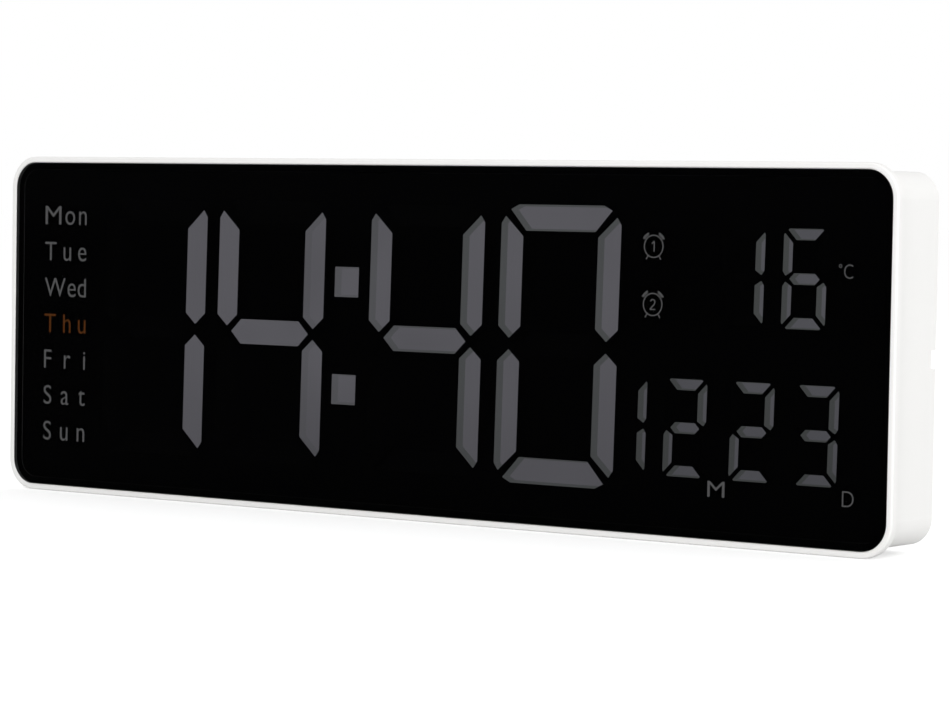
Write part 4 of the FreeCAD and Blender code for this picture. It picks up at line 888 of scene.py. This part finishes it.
class Lettering:
    """Turns single characters into flat plates."""

    def __init__(self, thinning: float = 0.004, body: float = 1.1, wide: float = 1.25) -> None:
        """Start with no characters made.

        Args:
            thinning: How far each stroke is drawn in from its sides, for letters one unit in size.
            body: How much taller small letters stand, while their stems keep their height.
            wide: How much wider an M is.
        """
        self.known: dict[str, tuple[list[Flat], list[Face]]] = {}
        self.thinning = thinning
        self.body = body
        self.wide = wide

    def character(self, letter: str) -> tuple[list[Flat], list[Face]]:
        """Make one character of a font one unit in size.

        Args:
            letter: The character.

        Returns:
            Its points, from its own left edge and the base line, and its faces.
        """
        if letter not in self.known:
            curve = bpy.data.curves.new("letter", "FONT")
            curve.body = letter
            curve.size = 1.0
            curve.resolution_u = 6
            curve.offset = -self.thinning
            holder = bpy.data.objects.new("letter", curve)
            bpy.context.scene.collection.objects.link(holder)
            graph = bpy.context.evaluated_depsgraph_get()
            mesh = bpy.data.meshes.new_from_object(holder.evaluated_get(graph))
            left = min(vertex.co.x for vertex in mesh.vertices)
            points = [(vertex.co.x - left, vertex.co.y) for vertex in mesh.vertices]
            faces = [tuple(face.vertices) for face in mesh.polygons]
            bpy.data.objects.remove(holder)
            bpy.data.curves.remove(curve)
            bpy.data.meshes.remove(mesh)
            self.known[letter] = (points, faces)
        return self.known[letter]

    def height(self, letter: str) -> float:
        """Height of a character in the font's own units."""
        return max(point[1] for point in self.character(letter)[0])

    def shaped(self, letter: str, point: Flat) -> Flat:
        """Widen an M, and make a small letter's body taller without its stem.

        Args:
            letter: The character.
            point: One of its points.

        Returns:
            The point's new place.
        """
        x, z = point
        if letter == "M":
            return (x * self.wide, z)
        if not letter.islower():
            return point
        body, top = self.height("x"), self.height("T")
        if z <= body:
            return (x, z * self.body)
        return (x, body * self.body + (z - body) * (top - body * self.body) / (top - body))

    def write(self, shape: Shape, word: str, centre: Flat, width: float, height: float, front: float,
              depth: float) -> None:
        """Write a word across an even width.

        Args:
            shape: The shape that takes the letters.
            word: The word.
            centre: X and Z of its middle.
            width: From its first letter's left to its last letter's right.
            height: Height of a capital.
            front: Depth of the letters' front.
            depth: Thickness of the letters.
        """
        scale = height / self.height("T")
        letters = []
        for letter in word:
            points, faces = self.character(letter)
            letters.append(([self.shaped(letter, point) for point in points], faces))
        widths = [scale * max(point[0] for point in points) for points, _ in letters]
        gap = (width - sum(widths)) / max(len(word) - 1, 1)
        stretch = width / widths[0] if len(word) == 1 else 1.0
        cursor = centre[0] - width / 2
        for (points, faces), letter_width in zip(letters, widths):
            flat = [(cursor + scale * stretch * x, centre[1] - height / 2 + scale * y) for x, y in points]
            thicken(shape, flat, faces, front, depth)
            cursor += letter_width + gap


# What is printed, with the strokes of a 1 and a 2 about the middle of an alarm symbol

WEEKDAYS = ("Mon", "Tue", "Wed", "Thu", "Fri", "Sat", "Sun")
ALARM_NUMBERS = (
    ([(-0.0008, 0.0009), (0.0002, 0.0017)], [(0.0002, 0.0018), (0.0002, -0.0018)]),
    (arc((0.0, 0.0008), 0.0009, 165.0, -45.0, 8), [(0.0007, 0.0001), (-0.0010, -0.0016)],
     [(-0.0011, -0.0017), (0.0011, -0.0017)]),
)


@dataclass(frozen=True)
class Letter:
    """A unit letter on the display, placed by its middle."""

    text: str
    centre: Flat
    width: float
    height: float


@dataclass
class Display:
    """The window, the light frame with its cups, and the printed legends.

    Angles are degrees, and what stands round an alarm symbol's ring is measured from it.
    """

    finishes: Finishes
    weekday_x: float = -0.1704
    weekday_top: float = 0.1073
    weekday_pitch: float = 0.014
    word_width: float = 0.0216
    capital: float = 0.0072
    ink_front: float = -0.01412
    ink_depth: float = 0.00008
    today: str = "Thu"
    bell_x: float = 0.1018
    bell_levels: tuple[float, float] = (0.1008, 0.08095)
    ring: float = 0.0038
    ring_sides: int = 40
    line: float = 0.0004
    bell_lean: float = 42.0
    bell_out: float = 0.0012
    bell_half: float = 18.0
    bell_sides: int = 8
    inner_bell_out: float = 0.0007
    inner_bell_half: float = 15.0
    inner_bell_sides: int = 6
    foot_lean: float = 34.0
    foot_top: float = 0.0001
    foot_end: float = 0.0016
    month: Letter = Letter("M", (0.1287, 0.0193), 0.0068, 0.0054)
    day: Letter = Letter("D", (0.1798, 0.0191), 0.0044, 0.0053)
    celsius: Letter = Letter("C", (0.1783, 0.0940), 0.0034, 0.0047)
    unit_thinning: float = 0.014
    degree: Flat = (0.1752, 0.0958)
    degree_radius: float = 0.0005
    degree_line: float = 0.00025
    degree_sides: int = 16

    def build(self) -> None:
        """Dress the solid pieces and add the legends."""
        dress = self.finishes.dress
        dress("smoked_acrylic", "front_panel")
        dress("tape_black", "panel_tape")
        dress("frame_black", "light_frame")
        # The lit cups glow with painted light that stands for the lamps behind them.
        dress("cup_lit", "time_segments_lit", "colon_lights")
        dress("cup_small", "small_segments_lit")
        # Painted shade: the unlit cups are dressed black.
        dress("cup_unlit_painted_shade", "time_segments_dark", "small_segments_dark")
        dress("film_black", "legend_plates")
        self.weekdays(Lettering())
        self.alarms()
        self.units()

    def keep(self, shape: Shape, name: str, finish: str) -> None:
        """Make a printed piece that goes with the case.

        Args:
            shape: Its shape.
            name: Its name.
            finish: Name of its ink.
        """
        piece = shape.piece(name, self.finishes[finish])
        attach(piece, "case")
        log.info("printed %s", name)

    def weekdays(self, letters: Lettering) -> None:
        """Write the weekday names, the present one apart.

        Args:
            letters: The lettering that writes them.
        """
        plain, lit = Shape(), Shape()
        for row, word in enumerate(WEEKDAYS):
            centre = (self.weekday_x, self.weekday_top - row * self.weekday_pitch)
            letters.write(lit if word == self.today else plain, word, centre, self.word_width, self.capital,
                          self.ink_front, self.ink_depth)
        self.keep(plain, "weekday_names", "ink_grey_glow")
        self.keep(lit, "weekday_today", "ink_amber_glow")

    def alarms(self) -> None:
        """Draw the two alarm symbols: a ring with two bells, two feet and a number."""
        shape = Shape()
        for strokes, level in zip(ALARM_NUMBERS, self.bell_levels):
            middle = (self.bell_x, level)
            self.ring_plate(shape, middle, self.ring, self.line, self.ring_sides)
            paths = [[(middle[0] + x, middle[1] + z) for x, z in path] for path in strokes]
            for side in (-1, 1):
                paths += self.bell(middle, 90 - side * self.bell_lean)
                foot = math.radians(-90 + side * self.foot_lean)
                paths.append([(middle[0] + r * math.cos(foot), middle[1] + r * math.sin(foot))
                              for r in (self.ring + self.foot_top, self.ring + self.foot_end)])
            for path in paths:
                shape.plate(stroke(path, self.line), self.ink_front, self.ink_front + self.ink_depth)
        self.keep(shape, "alarm_symbols", "ink_grey_glow")

    def bell(self, middle: Flat, top: float) -> list[list[Flat]]:
        """Draw one bell of an alarm symbol.

        Args:
            middle: X and Z of the ring's middle.
            top: Angle of the bell's top.

        Returns:
            Its outer and inner arcs.
        """
        return [arc(middle, self.ring + out, top - half, top + half, sides) for out, half, sides in (
            (self.bell_out, self.bell_half, self.bell_sides),
            (self.inner_bell_out, self.inner_bell_half, self.inner_bell_sides))]

    def ring_plate(self, shape: Shape, middle: Flat, radius: float, width: float, sides: int) -> None:
        """Add a flat ring.

        Args:
            shape: The shape that takes it.
            middle: X and Z of its middle.
            radius: Radius of its line.
            width: Width of its line.
            sides: Its sides.
        """
        flat, faces = [], []
        for side in range(sides):
            angle = 2 * math.pi * side / sides
            for r in (radius - width / 2, radius + width / 2):
                flat.append((middle[0] + r * math.cos(angle), middle[1] + r * math.sin(angle)))
            here, after = 2 * side, 2 * ((side + 1) % sides)
            faces.append((here, here + 1, after + 1, after))
        thicken(shape, flat, faces, self.ink_front, self.ink_depth)

    def units(self) -> None:
        """Write the temperature, month and day letters."""
        month, others = Shape(), Shape()
        thin = Lettering(thinning=self.unit_thinning)
        for shape, letters, unit in ((month, Lettering(), self.month), (others, thin, self.day),
                                     (others, thin, self.celsius)):
            letters.write(shape, unit.text, unit.centre, unit.width, unit.height, self.ink_front,
                          self.ink_depth)
        self.ring_plate(others, self.degree, self.degree_radius, self.degree_line, self.degree_sides)
        self.keep(month, "month_letter", "ink_grey_glow")
        self.keep(others, "unit_letters", "ink_faint_glow")


# Rear

class Mark(Enum):
    """The sign on a key's cap."""

    MODE = "mode"
    UP = "up"
    DOWN = "down"
    ALARM = "alarm"


# Outlines of the signs, for a sign one unit in size

SIGNS = {
    Mark.MODE: (arc((0.0, 0.0), 0.34, 0, 330, 12), stroke(arc((0.0, 0.0), 0.78, 90, 270, 16), 0.2),
                stroke(arc((0.0, 0.0), 0.78, -90, 90, 16), 0.2)),
    Mark.UP: ([(-0.8, -0.55), (0.8, -0.55), (0.0, 0.8)],),
    Mark.DOWN: ([(0.8, 0.55), (-0.8, 0.55), (0.0, -0.8)],),
    Mark.ALARM: ([(0.82, -0.55), *arc((0.0, 0.1), 0.52, 0, 180, 12), (-0.82, -0.55)],
                 arc((0.0, -0.72), 0.17, 0, 330, 10)),
}


@dataclass
class Keys:
    """Four soft keys with rounded caps, in the windows of the rear cover."""

    finishes: Finishes
    flange: float = 0.0015
    shoulder: float = 0.0012
    shoulder_step: float = 0.00001
    corner: float = 0.0014
    least_corner: float = 0.0002
    edge: float = 0.0005
    edge_steps: int = 4
    dish: float = 0.0002
    dish_start: float = 0.0006
    dish_end: float = 0.0016
    crease: float = 0.9
    mark: float = 0.0022
    ink_lift: float = 0.00006
    ink_depth: float = 0.00026

    def build(self) -> None:
        """Make each key in the place of its node."""
        for mark in Mark:
            node = mark.value + "_key"
            low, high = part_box(node)
            cap = self.cap(node, low, high)
            for piece in (cap, self.sign(node, mark, low, high)):
                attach(piece, node)
            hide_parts(node)
            log.info("made %s and its %s sign", cap.name, mark.value)

    def cap(self, node: str, low: Vector, high: Vector) -> bpy.types.Object:
        """Make one key: a flange, a cap with rounded edges and a shallow dish.

        Args:
            node: The key's node.
            low: Lowest corner of the node.
            high: Highest corner of the node.

        Returns:
            The key.
        """
        middle = ((low[0] + high[0]) / 2, (low[2] + high[2]) / 2)
        width, height = high[0] - low[0] - 2 * self.flange, high[2] - low[2] - 2 * self.flange
        top, shoulder = high[1], low[1] + self.shoulder

        def ring(inset: float, depth: float) -> list[Point]:
            """Outline the key at one depth, anticlockwise seen from the rear.

            Args:
                inset: How far inside the cap's own outline it lies.
                depth: Its depth.

            Returns:
                Its points.
            """
            radius = max(self.corner - inset, self.least_corner)
            outline = rounded(width - 2 * inset, height - 2 * inset, radius)
            return [(middle[0] - x, depth, middle[1] + z) for x, z in outline]

        rings = [ring(-self.flange, low[1]), ring(-self.flange, shoulder),
                 ring(0.0, shoulder + self.shoulder_step)]
        for step in range(self.edge_steps + 1):
            angle = math.pi / 2 * step / self.edge_steps
            rings.append(ring(self.edge * (1 - math.cos(angle)), top - self.edge * (1 - math.sin(angle))))
        rings.append(ring(self.edge + self.dish_start, top - self.dish / 2))
        rings.append(ring(self.edge + self.dish_end, top - self.dish))
        shape = Shape()
        shape.loft(rings)
        return shape.piece(node + "_moulded", self.finishes["key_grey"], self.crease)

    def sign(self, node: str, mark: Mark, low: Vector, high: Vector) -> bpy.types.Object:
        """Print the sign on a key's cap.

        Args:
            node: The key's node.
            mark: Which sign.
            low: Lowest corner of the node.
            high: Highest corner of the node.

        Returns:
            The sign.
        """
        middle = ((low[0] + high[0]) / 2, (low[2] + high[2]) / 2)
        outer = high[1] - self.dish + self.ink_lift
        shape = Shape()
        for outline in SIGNS[mark]:
            spots = [(middle[0] + self.mark * x, middle[1] + self.mark * z) for x, z in reversed(outline)]
            shape.loft([[(x, depth, z) for x, z in spots] for depth in (outer - self.ink_depth, outer)])
        return shape.piece(node + "_sign", self.finishes["mark_grey"])


@dataclass
class Rear:
    """The rear cover and what is on it: battery door, folding leg, jack and feet.

    A ridge's bottom and top are shares of its width from its middle to a corner.
    """

    finishes: Finishes
    ridges: int = 5
    ridge_pitch: float = 0.0022
    ridge_length: float = 0.012
    ridge_width: float = 0.0009
    ridge_height: float = 0.0005
    ridge_bottom: float = 0.72
    ridge_top: float = 0.4
    grip_in: float = 0.0105
    sunk: float = 0.00005

    def build(self) -> None:
        """Dress the solid pieces and add the door's grip ridges."""
        dress = self.finishes.dress
        dress("cover_white", "rear_cover", "battery_door", "stand_leg")
        dress("zinc_steel", "stand_pin", "cell_contact")
        dress("drawn_can", "coin_cell")
        dress("foot_rubber", "rubber_feet", "stand_pad")
        dress("chip_black", "dc_jack")
        self.grip()

    def tree(self) -> Repeater:
        """Build the tree for one ridge on each place.

        Returns:
            The tree.
        """
        ridge = Repeater("grip_ridges", {"Ridge Length": self.ridge_length, "Ridge Width": self.ridge_width,
                                         "Ridge Height": self.ridge_height})
        length, width = ridge.size("Ridge Length"), ridge.size("Ridge Width")
        bar = ridge.add("GeometryNodeMeshCone", Vertices=4,
                        Radius_Bottom=ridge.times(width, self.ridge_bottom),
                        Radius_Top=ridge.times(width, self.ridge_top), Depth=ridge.size("Ridge Height"))
        squared = ridge.add("GeometryNodeTransform", Geometry=bar.outputs["Mesh"],
                            Rotation=(0.0, 0.0, math.pi / 4))
        stretch = ridge.vector(ridge.calculate("DIVIDE", length, width), 1.0, 1.0)
        stretched = ridge.add("GeometryNodeTransform", Geometry=squared.outputs[0], Scale=stretch)
        ridge.repeated(stretched.outputs[0], ridge.vector(Facing.REAR.value, 0.0, 0.0))
        return ridge

    def grip(self) -> None:
        """Add the ridges at the free end of the battery door."""
        low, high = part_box("battery_door")
        start = (low[2] + high[2]) / 2 - self.ridge_pitch * (self.ridges - 1) / 2
        places = [(low[0] + self.grip_in, high[1] - self.sunk, start + self.ridge_pitch * index)
                  for index in range(self.ridges)]
        piece = self.tree().piece("battery_door_grip", places, self.finishes["cover_white"])
        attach(piece, "battery_lid")
        log.info("made %s: %d ridges", piece.name, len(places))


# Inside

@dataclass
class Electronics:
    """The two boards and what is soldered to them."""

    finishes: Finishes
    joint_radius: float = 0.00036
    joint_height: float = 0.0005
    joint_top: float = 0.35
    joint_sides: int = 10
    sunk: float = 0.00003
    chip_length: float = 0.0128
    chip_pins: int = 14
    pin_inset: float = 0.0008
    pin_span: float = 0.0112
    pin_out: float = 0.0011
    header_pins: int = 8
    header_inset: float = 0.001
    header_out: float = 0.0012

    def build(self) -> None:
        """Dress the solid pieces and add the solder joints."""
        dress = self.finishes.dress
        dress("board_laminate", "display_board", "control_board")
        dress("lamp_resin", "segment_lamps")
        dress("chip_black", "driver_chips", "key_switches", "buzzer", "clock_chip", "temperature_sensor",
              "board_header")
        dress("drawn_can", "timing_crystal", "power_capacitor")
        self.joints()

    def tree(self) -> Repeater:
        """Build the tree for one solder joint on each place.

        Returns:
            The tree.
        """
        joint = Repeater("solder_joints", {"Joint Radius": self.joint_radius,
                                           "Joint Height": self.joint_height})
        radius = joint.size("Joint Radius")
        cone = joint.add("GeometryNodeMeshCone", Vertices=self.joint_sides, Radius_Bottom=radius,
                         Radius_Top=joint.times(radius, self.joint_top), Depth=joint.size("Joint Height"))
        joint.repeated(cone.outputs["Mesh"], joint.vector(Facing.REAR.value, 0.0, 0.0))
        return joint

    def joints(self) -> None:
        """Add solder joints along both sides of each driver chip and under the header."""
        places: list[Point] = []
        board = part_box("display_board")[1][1] - self.sunk
        low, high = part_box("driver_chips")
        for left in (low[0], high[0] - self.chip_length):
            for index in range(self.chip_pins):
                x = left + self.pin_inset + index * self.pin_span / (self.chip_pins - 1)
                places += [(x, board, low[2] - self.pin_out), (x, board, high[2] + self.pin_out)]
        low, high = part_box("board_header")
        span = high[0] - low[0] - 2 * self.header_inset
        for index in range(self.header_pins):
            x = low[0] + self.header_inset + index * span / (self.header_pins - 1)
            places.append((x, board, low[2] - self.header_out))
        piece = self.tree().piece("solder_joints", places, self.finishes["solder"])
        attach(piece, "case")
        log.info("made %s: %d joints", piece.name, len(places))


# Surroundings

@dataclass(frozen=True)
class Lamp:
    """A square lamp: where it hangs, its side and its power in watts."""

    name: str
    place: Point
    side: float
    power: float


@dataclass
class Studio:
    """The floor, the light and the camera."""

    floor_side: float = 40.0
    floor_grey: float = 0.80
    ambient: float = 0.62
    floor_lift: float = 0.5
    lamps: tuple[Lamp, ...] = (
        Lamp("key_light", (2.2, -0.5, 0.6), 1.6, 14.2),
        Lamp("front_light", (1.2, -2.1, 0.9), 1.4, 26.0),
        Lamp("rear_light", (-0.3, 2.1, 0.6), 1.8, 12.0),
    )
    aim: Point = (0.0, 0.0, 0.065)
    lens: float = 129.36
    sensor_width: float = 36.0
    nearest: float = 0.05
    eye: Point = (0.73970, -0.99185, 0.11294)
    right: Point = (0.80761, 0.58948, 0.016685)
    up: Point = (-0.040078, 0.026636, 0.998841)
    back: Point = (0.588354, -0.807343, 0.045137)

    def build(self) -> None:
        """Set up the world, the floor, the lamps and the camera."""
        bpy.context.scene.view_settings.view_transform = "Standard"
        self.world()
        self.floor()
        for lamp in self.lamps:
            self.hang(lamp)
        self.camera()

    def world(self) -> None:
        """Light evenly from all round, and show white to the camera and in reflections."""
        world = bpy.data.worlds.new("plain_white")
        bpy.context.scene.world = world
        world.use_nodes = True
        tree = NodeTree(world.node_tree)
        rays = tree.add("ShaderNodeLightPath").outputs
        seen = tree.calculate("MAXIMUM", rays["Is Camera Ray"], rays["Is Glossy Ray"])
        seen = tree.calculate("MAXIMUM", seen, rays["Is Transmission Ray"])
        level = tree.add("ShaderNodeMapRange", Value=seen, To_Min=self.ambient, To_Max=1.0)
        sky = tree.add("ShaderNodeBackground", Color=(1.0, 1.0, 1.0, 1.0), Strength=level.outputs["Result"])
        tree.add("ShaderNodeOutputWorld", Surface=sky.outputs["Background"])

    def floor(self) -> None:
        """Lay a pale floor that stays white but keeps the clock's shadow."""
        recipe = Recipe("pale_floor")
        shader = recipe.surface(Base_Color=(self.floor_grey, self.floor_grey, self.floor_grey, 1.0),
                                Roughness=0.9, Specular_IOR_Level=0.0)
        seen = recipe.add("ShaderNodeLightPath").outputs["Is Camera Ray"]
        lift = recipe.add("ShaderNodeEmission", Strength=recipe.spread(seen, 0.0, self.floor_lift, 0.0, 1.0))
        total = recipe.add("ShaderNodeAddShader")
        recipe.join(shader.outputs["BSDF"], total.inputs[0])
        recipe.join(lift.outputs["Emission"], total.inputs[1])
        recipe.join(total.outputs[0], recipe.output.inputs["Surface"])
        side = self.floor_side / 2
        corners = [(-side, -side, 0.0), (side, -side, 0.0), (side, side, 0.0), (-side, side, 0.0)]
        shape = Shape()
        shape.add(corners, [(0, 1, 2, 3)])
        shape.piece("studio_floor", recipe.material)

    def hang(self, lamp: Lamp) -> None:
        """Hang a lamp that looks at the clock and isn't mirrored in it.

        Args:
            lamp: The lamp.
        """
        light = bpy.data.lights.new(lamp.name, "AREA")
        light.shape = "SQUARE"
        light.size = lamp.side
        light.energy = lamp.power
        holder = bpy.data.objects.new(lamp.name, light)
        turn = (Vector(self.aim) - Vector(lamp.place)).to_track_quat("-Z", "Y")
        holder.matrix_world = Matrix.Translation(lamp.place) @ turn.to_matrix().to_4x4()
        holder.visible_glossy = False
        bpy.context.scene.collection.objects.link(holder)

    def camera(self) -> None:
        """Set the camera where the photograph was taken."""
        data = bpy.data.cameras.new("portrait")
        data.lens = self.lens
        data.sensor_width = self.sensor_width
        data.clip_start = self.nearest
        holder = bpy.data.objects.new("portrait", data)
        turned = Matrix((self.right, self.up, self.back)).transposed().to_4x4()
        holder.matrix_world = Matrix.Translation(self.eye) @ turned
        bpy.context.scene.collection.objects.link(holder)
        bpy.context.scene.camera = holder


@dataclass
class Case:
    """The white housing."""

    finishes: Finishes

    def build(self) -> None:
        """Dress the housing."""
        self.finishes.dress("case_white", "housing")


def main() -> None:
    """Build the clock's sub-assemblies in order, and note each one as it is finished."""
    logging.basicConfig(level=logging.INFO, format="%(name)s: %(message)s")
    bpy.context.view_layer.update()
    finishes = Finishes()
    for part in (Case(finishes), Display(finishes), Rear(finishes), Keys(finishes), Screws(finishes),
                 Electronics(finishes), Studio()):
        part.build()
        log.info("finished %s", type(part).__name__)
    bpy.context.view_layer.update()


if __name__ == "__main__":
    main()
